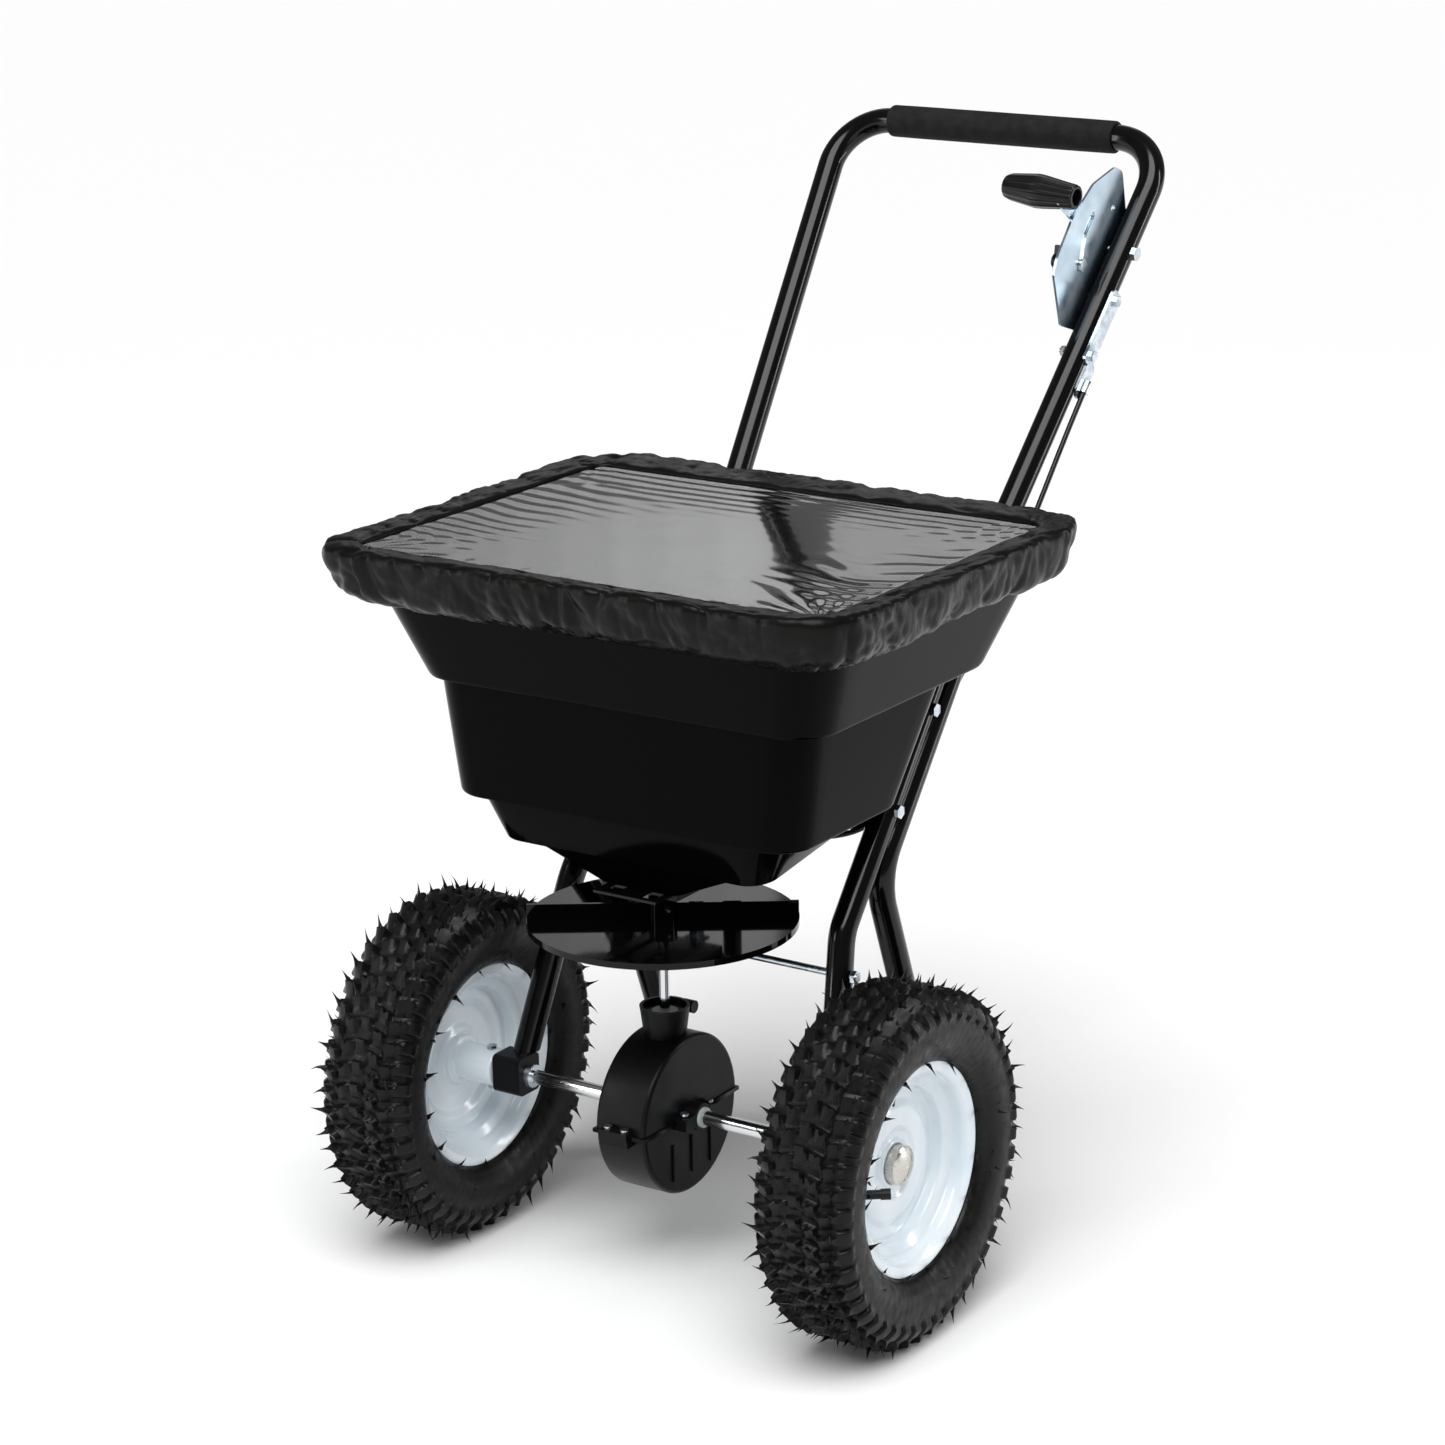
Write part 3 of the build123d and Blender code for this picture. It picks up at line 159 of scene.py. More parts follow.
# %% Surface helpers
def grid_faces(rows, columns, wrap_rows=False, wrap_columns=False):
    """Each face joins (i, j), (i+1, j), (i+1, j+1) and (i, j+1), with wrapping where asked."""
    i = np.arange(rows if wrap_rows else rows - 1)
    j = np.arange(columns if wrap_columns else columns - 1)
    i, j = np.meshgrid(i, j, indexing="ij")
    i2, j2 = (i + 1) % rows, (j + 1) % columns
    corners = [i * columns + j, i2 * columns + j, i2 * columns + j2, i * columns + j2]
    return np.stack(corners, axis=-1).reshape(-1, 4)


def surface(points, wrap_rows=False, wrap_columns=False):
    """A grid of points, shape (rows, columns, 3), as a list of points and a list of faces."""
    rows, columns = points.shape[:2]
    return points.reshape(-1, 3), grid_faces(rows, columns, wrap_rows, wrap_columns)


def piece(name, part, body, material, closed=True, crease=35.0, stands_for=()):
    """Makes the mesh, closes its seams and poles, turns closed shells outwards and puts it on a body."""
    points, faces = part
    mesh = bpy.data.meshes.new(name)
    mesh.from_pydata(points.tolist(), [], faces.tolist())
    work = bmesh.new()
    work.from_mesh(mesh)
    bmesh.ops.remove_doubles(work, verts=work.verts, dist=1e-6)
    if closed:
        bmesh.ops.recalc_face_normals(work, faces=work.faces)
    work.to_mesh(mesh)
    work.free()
    mesh.polygons.foreach_set("use_smooth", [True] * len(mesh.polygons))
    mesh.set_sharp_from_angle(angle=np.radians(crease))
    mesh.materials.append(material)
    made = bpy.data.objects.new(name, mesh)
    bpy.context.scene.collection.objects.link(made)
    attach(made, body)
    if stands_for:
        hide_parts(*stands_for)
    print(name, "faces:", len(mesh.polygons))
    return made


def soften(corners, cut, steps=4):
    """Rounds a row of corner points: each becomes a quadratic curve from cut before it to cut after it."""
    corners = np.asarray(corners, float)
    before, here, after = corners[:-2], corners[1:-1], corners[2:]
    ahead, behind = after - here, before - here
    reach_a = np.minimum(cut, np.linalg.norm(ahead, axis=1) * 0.49)[:, None]
    reach_b = np.minimum(cut, np.linalg.norm(behind, axis=1) * 0.49)[:, None]
    start = here + behind / np.linalg.norm(behind, axis=1)[:, None] * reach_b
    stop = here + ahead / np.linalg.norm(ahead, axis=1)[:, None] * reach_a
    t = np.linspace(0, 1, steps)[None, :, None]
    curve = (1 - t) ** 2 * start[:, None] + 2 * t * (1 - t) * here[:, None] + t ** 2 * stop[:, None]
    return np.concatenate([corners[:1], curve.reshape(-1, corners.shape[1]), corners[-1:]])


def through(points, count):
    """A smooth (Catmull-Rom) line through the points, evenly sampled along its length."""
    p = np.asarray(points, float)
    p = np.concatenate([2 * p[:1] - p[1:2], p, 2 * p[-1:] - p[-2:-1]])
    t = np.linspace(0, len(p) - 3 - 1e-9, 40 * len(p))
    k, f = t.astype(int), (t % 1)[:, None]
    a, b, c, d = p[k], p[k + 1], p[k + 2], p[k + 3]
    line = 0.5 * (2 * b + (c - a) * f + (2 * a - 5 * b + 4 * c - d) * f ** 2
                  + (3 * b - a - 3 * c + d) * f ** 3)
    far = np.concatenate([[0], np.cumsum(np.linalg.norm(np.diff(line, axis=0), axis=1))])
    even = np.linspace(0, far[-1], count)
    return np.stack([np.interp(even, far, line[:, i]) for i in range(line.shape[1])], axis=1)


def lathe(profile, centre, axis_x=True, count=128):
    """Turns points of (distance along, radius) about an axis along X: y = r sin a, z = r cos a."""
    profile = np.asarray(profile, float)
    a = np.linspace(0, 2 * np.pi, count, endpoint=False)[:, None]
    along = np.broadcast_to(profile[:, 0], (count, len(profile)))
    points = np.stack([along, profile[:, 1] * np.sin(a), profile[:, 1] * np.cos(a)], axis=-1) + centre
    return surface(points, wrap_rows=True)


def smooth_step(x):
    """0 below 0, 1 above 1, and 3x^2 - 2x^3 between."""
    x = np.clip(x, 0, 1)
    return x * x * (3 - 2 * x)

# %% [markdown]
# ## Finishes of the steel parts
# The tubes are mild steel under black powder coat: glossy, with a faint orange peel.
# Bolts and brackets are zinc plated, so they are bright, a little blue and slightly cloudy.
# The axle and impeller shaft are drawn bar, nearly mirror bright along their length.

# %% Steel and paint
powder_coat, tree, shader = finish("black_powder_coat", "#060607", 0.16, Specular_IOR_Level=0.3)
bump(tree, shader, grain(tree, 0.0025).outputs["Fac"], 0.06, 0.0002)
vary(tree, shader.inputs["Roughness"], grain(tree, 0.05).outputs["Fac"], 0.1, 0.18)

zinc_plate, tree, shader = finish("zinc_plated_steel", "#c9d3db", 0.24, 1.0)
cloud = grain(tree, 0.012, 3)
vary(tree, shader.inputs["Roughness"], cloud.outputs["Fac"], 0.16, 0.34)
tint(tree, shader, cloud.outputs["Fac"], "#a9b4be", "#e3ebf2")
bump(tree, shader, grain(tree, 0.0012).outputs["Fac"], 0.08, 0.0001)

drawn_steel, tree, shader = finish("drawn_bright_steel", "#dcdee0", 0.09, 1.0)
lines = grain(tree, 0.0008, 2, (0.02, 1, 1))
vary(tree, shader.inputs["Roughness"], lines.outputs["Fac"], 0.06, 0.2)
bump(tree, shader, lines.outputs["Fac"], 0.05, 0.0001)

cap_steel, tree, shader = finish("stamped_stainless_steel", "#c9c6bf", 0.2, 1.0)
vary(tree, shader.inputs["Roughness"], grain(tree, 0.003, 3).outputs["Fac"], 0.12, 0.4)

blue_zinc, tree, shader = finish("blue_passivated_zinc", "#b9cfe0", 0.3, 1.0)
sheen_cloud = grain(tree, 0.03, 3)
tint(tree, shader, sheen_cloud.outputs["Fac"], "#b4c9da", "#d6e6f1")
vary(tree, shader.inputs["Roughness"], sheen_cloud.outputs["Fac"], 0.2, 0.28)

wheel_paint, tree, shader = finish("white_wheel_enamel", "#e3edf3", 0.22,
                                   Coat_Weight=0.5, Coat_Roughness=0.08)
bump(tree, shader, grain(tree, 0.004).outputs["Fac"], 0.04, 0.0002)
tint(tree, shader, grain(tree, 0.06).outputs["Fac"], "#dbe7ef", "#e9f1f6")

gear_metal, tree, shader = finish("machined_cast_iron", "#5b5b5e", 0.42, 1.0)
vary(tree, shader.inputs["Roughness"], grain(tree, 0.002).outputs["Fac"], 0.3, 0.55)

# %% [markdown]
# ## Finishes of the moulded parts
# The hopper is blow-moulded polyethylene with a gloss skin that waves a little.
# The gearbox is satin ABS, the spinner a high-gloss disc, and the bushes pale nylon.

# %% Plastics and rubber
hopper_plastic, tree, shader = finish("gloss_polyethylene", "#040404", 0.1, Specular_IOR_Level=0.035)
bump(tree, shader, grain(tree, 0.07, 1).outputs["Fac"], 0.12, 0.0015,
     bump(tree, shader, grain(tree, 0.0016).outputs["Fac"], 0.015, 0.0001))
vary(tree, shader.inputs["Roughness"], grain(tree, 0.09).outputs["Fac"], 0.05, 0.12)

gearbox_plastic, tree, shader = finish("satin_abs", "#0b0b0b", 0.36, Specular_IOR_Level=0.16)
bump(tree, shader, grain(tree, 0.0009).outputs["Fac"], 0.12, 0.0001)
vary(tree, shader.inputs["Roughness"], grain(tree, 0.03).outputs["Fac"], 0.3, 0.44)

spinner_plastic, tree, shader = finish("high_gloss_abs", "#040405", 0.07, Specular_IOR_Level=0.24)
bump(tree, shader, grain(tree, 0.05, 1).outputs["Fac"], 0.06, 0.0008)

black_plastic, tree, shader = finish("moulded_black_nylon", "#0b0b0b", 0.3, Specular_IOR_Level=0.35)
bump(tree, shader, grain(tree, 0.001).outputs["Fac"], 0.1, 0.0001)

pale_plastic, tree, shader = finish("natural_nylon", "#b9bcbd", 0.4, Subsurface_Weight=0.05)
bump(tree, shader, grain(tree, 0.0012).outputs["Fac"], 0.08, 0.0001)

foam_rubber, tree, shader = finish("closed_cell_foam", "#1c1c1c", 0.85, Specular_IOR_Level=0.2)
bump(tree, shader, grain(tree, 0.0011, 3).outputs["Fac"], 0.5, 0.0003)
tint(tree, shader, grain(tree, 0.012).outputs["Fac"], "#171717", "#232322")

soft_rubber, tree, shader = finish("moulded_rubber", "#0e0e0e", 0.45, Specular_IOR_Level=0.3)
bump(tree, shader, grain(tree, 0.0015).outputs["Fac"], 0.15, 0.0001)

tyre_rubber, tree, shader = finish("natural_tyre_rubber", "#0b0b0b", 0.40, Specular_IOR_Level=0.2)
worn = grain(tree, 0.009, 4)
vary(tree, shader.inputs["Roughness"], worn.outputs["Fac"], 0.24, 0.55)
tint(tree, shader, grain(tree, 0.03, 3).outputs["Fac"], "#070707", "#121211")
bump(tree, shader, grain(tree, 0.0016, 3).outputs["Fac"], 0.16, 0.0004)

cable_pvc, tree, shader = finish("cable_pvc", "#070708", 0.25, Specular_IOR_Level=0.35)
bump(tree, shader, grain(tree, 0.003).outputs["Fac"], 0.1, 0.0001)

# %% Put the finishes on the engineering pieces
finishes = {
    powder_coat: ["handle_tube", "stand_leg_left", "stand_leg_right", "front_leg_left", "front_leg_right",
                  "hopper_crossbar", "hopper_brackets", "gate_plate"],
    zinc_plate: ["cross_rod", "hopper_screws", "frame_bolts", "axle_collars", "axle_clips", "drive_bolt",
                 "crown_pin", "gearbox_screws", "impeller_pins", "agitator", "gate_wire",
                 "pivot_bolt", "control_bolts", "stop_bolt", "cable_bracket"],
    drawn_steel: ["axle", "impeller_shaft"],
    cap_steel: ["hub_cap_left", "hub_cap_right"],
    blue_zinc: ["control_plate", "control_lever"],
    gear_metal: ["crown_gear", "pinion_gear"],
    hopper_plastic: ["hopper"],
    gearbox_plastic: ["gearbox_upper", "gearbox_lower", "axle_blocks"],
    spinner_plastic: ["impeller"],
    black_plastic: ["gate_guides", "stop_knob", "cable_anchor", "leg_plugs", "lever_grip"],
    pale_plastic: ["wheel_bushes_left", "wheel_bushes_right", "axle_bushes", "gearbox_bushes", "shaft_bush",
                   "hopper_bush"],
    soft_rubber: ["inner_tube_left", "inner_tube_right", "valve_stem_left", "valve_stem_right",
                  "stand_feet", "handle_grip", "cover_skirt", "cover_window"],
    tyre_rubber: ["tyre_left", "tyre_right"],
    wheel_paint: ["rim_left", "rim_right"],
    cable_pvc: ["cable_housing"],
}
for material, names in finishes.items():
    for name in names:
        nodes[name].data.materials.clear()
        nodes[name].data.materials.append(material)
print("without a finish:", sorted(set(nodes) - {n for names in finishes.values() for n in names}))

# %% [markdown]
# ## Wheels
# The tyre is one closed surface. Its tread is a height over the plain casing: rows of blocks, each
# higher at one edge, and ribs that run down over the shoulder. The rubber that filled the mould's
# vents is still on it as thin whiskers.

# %% Tyre sizes
wheel_radius = 0.165
track_half = 0.239
pitches = 48
samples_per_pitch = 16
ripple_height = 0.00007
casing = [(0.0, 0.1572), (0.016, 0.1568), (0.030, 0.1545), (0.0395, 0.1495), (0.0450, 0.1425),
          (0.0470, 0.1330), (0.0468, 0.1220), (0.0440, 0.1120), (0.0385, 0.1035), (0.0345, 0.0992),
          (0.0303, 0.0985)]
inside = [(0.0297, 0.0885), (0.0240, 0.0876), (0.0240, 0.1000), (0.0400, 0.1220), (0.0350, 0.1440),
          (0.0, 0.1520)]
chance = np.random.default_rng(7)


def block(across, along, half_across, half_along, edge=0.0013):
    """1 inside a rectangle and 0 outside it, with a wall that is edge metres wide."""
    out = np.maximum(np.abs(across) - half_across, np.abs(along) - half_along)
    return smooth_step(0.5 - out / edge)


def tread_height(phase, across, radius):
    """Height of the rubber over the casing.

    It comes from the turn counted in pitches, the place across the tyre and the radius: the highest of
    the blocks and the shoulder ribs that cover the point, plus two thin rings on the sidewall.
    """
    pitch = 2 * np.pi * 0.1575 / pitches
    height = np.zeros(np.broadcast(phase, across).shape)
    # Each row of blocks: place across, shift in pitches, half width, half length, height and skew.
    rows = [(0.0, 0.0, 0.0060, 0.0068, 0.0076, 0.0), (0.0158, 0.5, 0.0064, 0.0074, 0.0078, 0.25),
            (0.0310, 0.1, 0.0068, 0.0070, 0.0100, -0.2)]
    sides = np.sign(across) + (across == 0)
    for number, (place, shift, half_across, half_along, tall, skew) in enumerate(rows):
        away = np.abs(across) - place
        turned = phase - shift - 0.3 * (sides > 0) * (number > 0)
        whole = np.round(turned)
        along = (turned - whole) * pitch + skew * away
        uneven = 0.9 + 0.1 * np.sin(12.9 * whole + 7.1 * number + 3.3 * sides)
        lean = 0.55 + 0.45 * np.clip(along / half_along, -1, 1)
        shape = block(away, along, half_across, half_along) * smooth_step((radius - 0.143) / 0.004)
        height = np.maximum(height, shape * tall * uneven * lean)
    ribs = phase - 0.35 - 0.3 * (sides > 0)
    along = (ribs - np.round(ribs)) * pitch
    on_shoulder = smooth_step((np.abs(across) - 0.036) / 0.003) * smooth_step((radius - 0.1365) / 0.004)
    height = np.maximum(height, 0.0040 * on_shoulder * block(0, along, 1.0, 0.0064, 0.0016))
    ring_width = 0.0009
    bead_line = (np.exp(-((radius - 0.1352) / ring_width) ** 2)
                 + 0.8 * np.exp(-((radius - 0.1035) / ring_width) ** 2))
    return height + ring_width * bead_line * (np.abs(across) > 0.034)


def tyre_surface(side):
    """Casing plus tread height along the casing's own outward direction, turned about the axle."""
    half = through(casing, 44)
    outer = np.concatenate([half[::-1] * [-1, 1], half[1:]])
    step = np.gradient(outer, axis=0)
    outward = np.stack([-step[:, 1], step[:, 0]], axis=1)
    outward /= np.linalg.norm(outward, axis=1)[:, None]
    inner = through(inside, 12)
    inner = np.concatenate([inner, inner[-2::-1] * [-1, 1]])
    phase = np.linspace(0, pitches, pitches * samples_per_pitch, endpoint=False)[:, None]
    height = tread_height(phase, outer[None, :, 0], outer[None, :, 1])
    ripple = (ripple_height * np.sin(3.1 * phase + 410 * outer[None, :, 0])
              * np.sin(7.7 * phase - 290 * outer[None, :, 1]))
    lifted = outer[None] + (height + ripple)[..., None] * outward[None]
    loop = np.concatenate([lifted, np.broadcast_to(inner, (len(phase), *inner.shape))], axis=1)
    a = phase / pitches * 2 * np.pi
    points = np.stack([side * (track_half + loop[..., 0]), loop[..., 1] * np.sin(a),
                       wheel_radius + loop[..., 1] * np.cos(a)], axis=-1)
    points[..., 2] = np.maximum(points[..., 2], 0.0)
    return surface(points, wrap_rows=True, wrap_columns=True)


def whiskers(side):
    """Thin bent cones: rings of four points shrink from root to tip while they curl round the wheel."""
    # Each kind: place across, radius, shift in pitches, lift outwards, lean sideways and length.
    kinds = [(0.0365, 0.1600, 0.1, 0.85, 0.50, 0.0140), (-0.0365, 0.1600, 0.1, 0.85, -0.50, 0.0140),
             (0.0175, 0.1640, 0.5, 1.0, 0.15, 0.0110), (-0.0175, 0.1640, 0.5, 1.0, -0.15, 0.0110),
             (0.0450, 0.1440, 0.4, 0.45, 0.9, 0.0060), (-0.0450, 0.1440, 0.4, 0.45, -0.9, 0.0060)]
    rows = []
    for across, radius, shift, lift, sideways, long in kinds:
        count = pitches
        turned = (np.arange(count) + shift + 0.3 * (across > 0) + 0.28) / pitches * 2 * np.pi
        rows.append(np.stack([turned, np.full(count, across), np.full(count, radius), np.full(count, lift),
                              np.full(count, sideways), np.full(count, long)], axis=1))
    at_bead, strays = 15, 22
    bead = np.linspace(0, 2 * np.pi, at_bead, endpoint=False)
    for sign in (1, -1):
        rows.append(np.stack([bead + 0.1 * sign, np.full(at_bead, sign * 0.0345), np.full(at_bead, 0.0993),
                              np.full(at_bead, -0.9), np.full(at_bead, sign * 0.55),
                              np.full(at_bead, 0.011)], axis=1))
        rows.append(np.stack([chance.uniform(0, 2 * np.pi, strays), np.full(strays, sign * 0.0452),
                              chance.uniform(0.110, 0.128, strays), chance.uniform(-0.8, 0.8, strays),
                              np.full(strays, sign * 0.35), np.full(strays, 0.008)], axis=1))
    table = np.concatenate(rows)
    count = len(table)
    a, across, radius, lift, sideways, long = table.T
    a = a + chance.normal(0, 0.006, count)
    long = long * chance.uniform(0.7, 1.2, count)
    sideways = sideways + chance.normal(0, 0.2, count)
    along = 0.35 + chance.normal(0, 0.3, count)
    direction = np.stack([sideways, lift, along], axis=1)
    direction /= np.linalg.norm(direction, axis=1)[:, None]
    t = np.linspace(0, 1, 4)[None, :]
    curl = chance.normal(0, 0.25, count)[:, None] * t ** 2
    x = across[:, None] + long[:, None] * t * direction[:, :1]
    r = radius[:, None] - 0.0015 + long[:, None] * t * direction[:, 1:2]
    s = long[:, None] * (t * direction[:, 2:] + curl)
    angle = a[:, None] + s / radius[:, None]
    core = np.stack([side * (track_half + x), r * np.sin(angle), wheel_radius + r * np.cos(angle)], axis=-1)
    keep = core[..., 2].min(axis=1) > 0.0015
    core, a = core[keep], a[keep]
    taper = np.array([0.0034, 0.0017, 0.0008, 0.00015])
    share = np.minimum(1, (long[keep] / 0.012) ** 2)
    thick = (taper * share[:, None])[..., None, None]
    q = np.linspace(0, 2 * np.pi, 4, endpoint=False)
    tangent = np.stack([np.zeros_like(a), np.cos(a), -np.sin(a)], axis=-1)[:, None, None]
    ring = np.cos(q)[None, None, :, None] * tangent + np.sin(q)[None, None, :, None] * np.array([1.0, 0, 0])
    points = core[:, :, None] + thick * ring
    count = len(points)
    points[..., 2] = np.maximum(points[..., 2], 0.0002)
    base = grid_faces(4, 4, wrap_columns=True)
    ends = np.array([[3, 2, 1, 0], [12, 13, 14, 15]])
    one = np.concatenate([base, ends])
    faces = (one[None] + 16 * np.arange(count)[:, None, None]).reshape(-1, 4)
    return points.reshape(-1, 3), faces

# %% [markdown]
# The rim is pressed steel: rolled lips, a drop centre and a stepped disc welded to a long hub tube.
# It is one closed profile, softened at its corners and turned about the axle.

# %% Rim profile
rim_profile = [(0.0300, 0.0972), (0.0318, 0.0985), (0.0327, 0.0968), (0.0302, 0.0885), (0.0265, 0.0848),
               (0.0172, 0.0826), (0.0128, 0.0722), (0.0040, 0.0708), (0.0022, 0.0690), (0.0020, 0.0585),
               (0.0068, 0.0520), (0.0070, 0.0345), (0.0042, 0.0300), (0.0042, 0.0235), (0.0068, 0.0222),
               (0.0066, 0.0186), (0.0040, 0.0182), (0.0040, 0.0152), (0.0080, 0.0152), (0.0080, 0.0098),
               (-0.0480, 0.0098), (-0.0480, 0.0180), (-0.0060, 0.0180), (-0.0055, 0.0235), (0.0002, 0.0250),
               (0.0012, 0.0300), (0.0038, 0.0350), (0.0038, 0.0515), (-0.0010, 0.0580), (-0.0010, 0.0700),
               (-0.0040, 0.0708), (-0.0128, 0.0722), (-0.0172, 0.0826), (-0.0265, 0.0848), (-0.0302, 0.0885),
               (-0.0327, 0.0968), (-0.0318, 0.0985), (-0.0300, 0.0972), (-0.0296, 0.0872), (-0.0160, 0.0850),
               (-0.0120, 0.0742), (0.0120, 0.0742), (0.0160, 0.0850), (0.0296, 0.0872), (0.0300, 0.0972)]

# %% Build both wheels
for side, name, body in ((1, "right", "right_wheel"), (-1, "left", "drive_axle")):
    piece(f"tread_tyre_{name}", tyre_surface(side), body, tyre_rubber, crease=60,
          stands_for=[f"tyre_{name}"])
    piece(f"tyre_whiskers_{name}", whiskers(side), body, tyre_rubber)
    profile = soften(rim_profile, 0.0022, 5) * [side, 1]
    piece(f"pressed_rim_{name}", lathe(profile, [side * track_half, 0, wheel_radius], count=160), body,
          wheel_paint, crease=50, stands_for=[f"rim_{name}"])

# %% [markdown]
# ## Hopper
# The tub has three steps over a shallow funnel. Each level is a rounded rectangle, and the wall is a
# straight line between levels, rounded where it turns. The inner wall comes back up 3 mm inside.

# %% Hopper surface
def ring(half, front, back, corner, z, rise=0.0, counts=(14, 12, 9)):
    """Rounded rectangles, one per row: straight runs between quarter circles, tilted up by rise along Y."""
    half, front, back, corner, z, rise = (np.atleast_1d(v).astype(float)[:, None] for v in
                                          (half, front, back, corner, z, rise))
    n_x, n_y, n_c = counts
    q = np.linspace(0, np.pi / 2, n_c, endpoint=False)[None]
    run_x = np.linspace(-1, 1, n_x, endpoint=False)[None]
    run_y = np.linspace(0, 1, n_y, endpoint=False)[None]
    inner_x, low_y, high_y = half - corner, front + corner, back - corner
    x = [inner_x * run_x, inner_x + corner * np.sin(q), half + 0 * run_y, inner_x + corner * np.cos(q),
         -inner_x * run_x, -inner_x - corner * np.sin(q), -half + 0 * run_y, -inner_x - corner * np.cos(q)]
    y = [front + 0 * run_x, low_y - corner * np.cos(q), low_y + (high_y - low_y) * run_y,
         high_y + corner * np.sin(q), back + 0 * run_x, high_y + corner * np.cos(q),
         high_y + (low_y - high_y) * run_y, low_y - corner * np.sin(q)]
    x, y = np.concatenate(x, axis=1), np.concatenate(y, axis=1)
    return np.stack([x, y, z + rise * (y + 0.055)], axis=-1)


floor_rise = 0.135
outer_levels = [(0.262, -0.131, 0.293, 0.056, 0.686, 0), (0.262, -0.131, 0.293, 0.056, 0.680, 0),
                (0.2555, -0.1245, 0.2862, 0.050, 0.6795, 0), (0.2145, -0.0835, 0.235, 0.042, 0.5695, 0),
                (0.201, -0.079, 0.182, 0.038, 0.5695, 0), (0.187, -0.072, 0.118, 0.034, 0.460, 0),
                (0.160, -0.068, 0.104, 0.028, 0.460, 0), (0.144, -0.055, 0.092, 0.024, 0.419, floor_rise),
                (0.118, -0.049, 0.084, 0.020, 0.419, floor_rise), (0.044, -0.038, 0.038, 0.010, 0.390, 0)]
wall = 0.003
thinner = np.array([-wall, wall, -wall, -wall, wall, 0])
inner_levels = [np.array(level) + thinner for level in outer_levels[:1] + outer_levels[3:]]
inner_levels[0][4] = 0.686
levels = soften(np.array(outer_levels), 0.005, 6)
levels_inside = soften(np.array(inner_levels[::-1]), 0.004, 4)
tub = ring(*np.concatenate([levels, levels_inside]).T)
tub_shell = surface(tub, wrap_rows=True, wrap_columns=True)
piece("hopper_tub", tub_shell, "frame", hopper_plastic, crease=30, stands_for=["hopper"])

# %% Hopper floor with its two outlets and the bush's hole
def outline_curve(name, loops, thickness, z):
    """A flat filled curve: the first loop is the edge and the others are holes; made a mesh at height z."""
    curve = bpy.data.curves.new(name, "CURVE")
    curve.dimensions = "2D"
    curve.fill_mode = "BOTH"
    curve.extrude = thickness / 2
    for loop in loops:
        line = curve.splines.new("POLY")
        line.points.add(len(loop) - 1)
        height_and_weight = np.tile([0.0, 1.0], (len(loop), 1))
        line.points.foreach_set("co", np.concatenate([loop, height_and_weight], axis=1).ravel())
        line.use_cyclic_u = True
    holder = bpy.data.objects.new(name, curve)
    bpy.context.scene.collection.objects.link(holder)
    bpy.context.view_layer.update()
    mesh = bpy.data.meshes.new_from_object(holder)
    bpy.data.objects.remove(holder)
    mesh.transform(Matrix.Translation((0, 0, z)))
    return mesh


def flat_piece(mesh, material):
    """Puts a mesh from a flat outline on the frame, with its finish."""
    mesh.materials.clear()
    mesh.materials.append(material)
    made = bpy.data.objects.new(mesh.name, mesh)
    bpy.context.scene.collection.objects.link(made)
    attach(made, "frame")


around = np.linspace(0, 2 * np.pi, 40, endpoint=False)
floor_edge = ring(0.0438, -0.0378, 0.0378, 0.010, 0)[0][:, :2]
bush_hole = 0.0092 * np.stack([np.cos(around), np.sin(around)], axis=1)
square = 0.008 * np.array([[-1, -1], [1, -1], [1, 1], [-1, 1]])
floor_mesh = outline_curve("hopper_floor", [floor_edge, bush_hole, square + [0.020, -0.022],
                                            square + [-0.020, -0.022]], 0.003, 0.3915)
flat_piece(floor_mesh, hopper_plastic)

# %% [markdown]
# ## Gearbox lip
# The gearbox's two halves meet on the axle's middle plane. Each has a thin lip along its edge, which
# shows as a line round the drum and stops at the thick cheeks where the axle comes out.

# %% Gearbox lip
lip_x, lip_y, cheek_y, lip_depth = 0.0286, 0.0774, 0.026, 0.0022
lip_edge = np.array([(lip_x, -cheek_y), (lip_x, -lip_y), (-lip_x, -lip_y), (-lip_x, -cheek_y),
                     (lip_depth - lip_x, -cheek_y), (lip_depth - lip_x, lip_depth - lip_y),
                     (lip_x - lip_depth, lip_depth - lip_y), (lip_x - lip_depth, -cheek_y)])
flat_piece(outline_curve("gearbox_lip_front", [lip_edge], 0.0036, wheel_radius), gearbox_plastic)
flat_piece(outline_curve("gearbox_lip_back", [-lip_edge], 0.0036, wheel_radius), gearbox_plastic)

# %% [markdown]
# ## Rain cover
# The cover is a clear vinyl window sewn into a border of coated cloth. The border is cut longer than
# the rim it goes round, so elastic in its hem gathers it into folds. The cloth is one sheet whose
# section goes from the window's seam over the rim, bulges out and tucks in against the tub. Its
# folds are ridges of several widths that come and go along the edge.

# %% Cover cloth
coated_cloth, tree, shader = finish("coated_polyester_cloth", "#0b0b0a", 0.32, Specular_IOR_Level=0.13)
weave = grain(tree, 0.0011, 1)
crumple = grain(tree, 0.018, 2)
bump(tree, shader, weave.outputs["Fac"], 0.25, 0.0002,
     bump(tree, shader, crumple.outputs["Fac"], 0.22, 0.0016))
tint(tree, shader, grain(tree, 0.04, 3).outputs["Fac"], "#080807", "#10100f")
vary(tree, shader.inputs["Roughness"], crumple.outputs["Fac"], 0.26, 0.38)

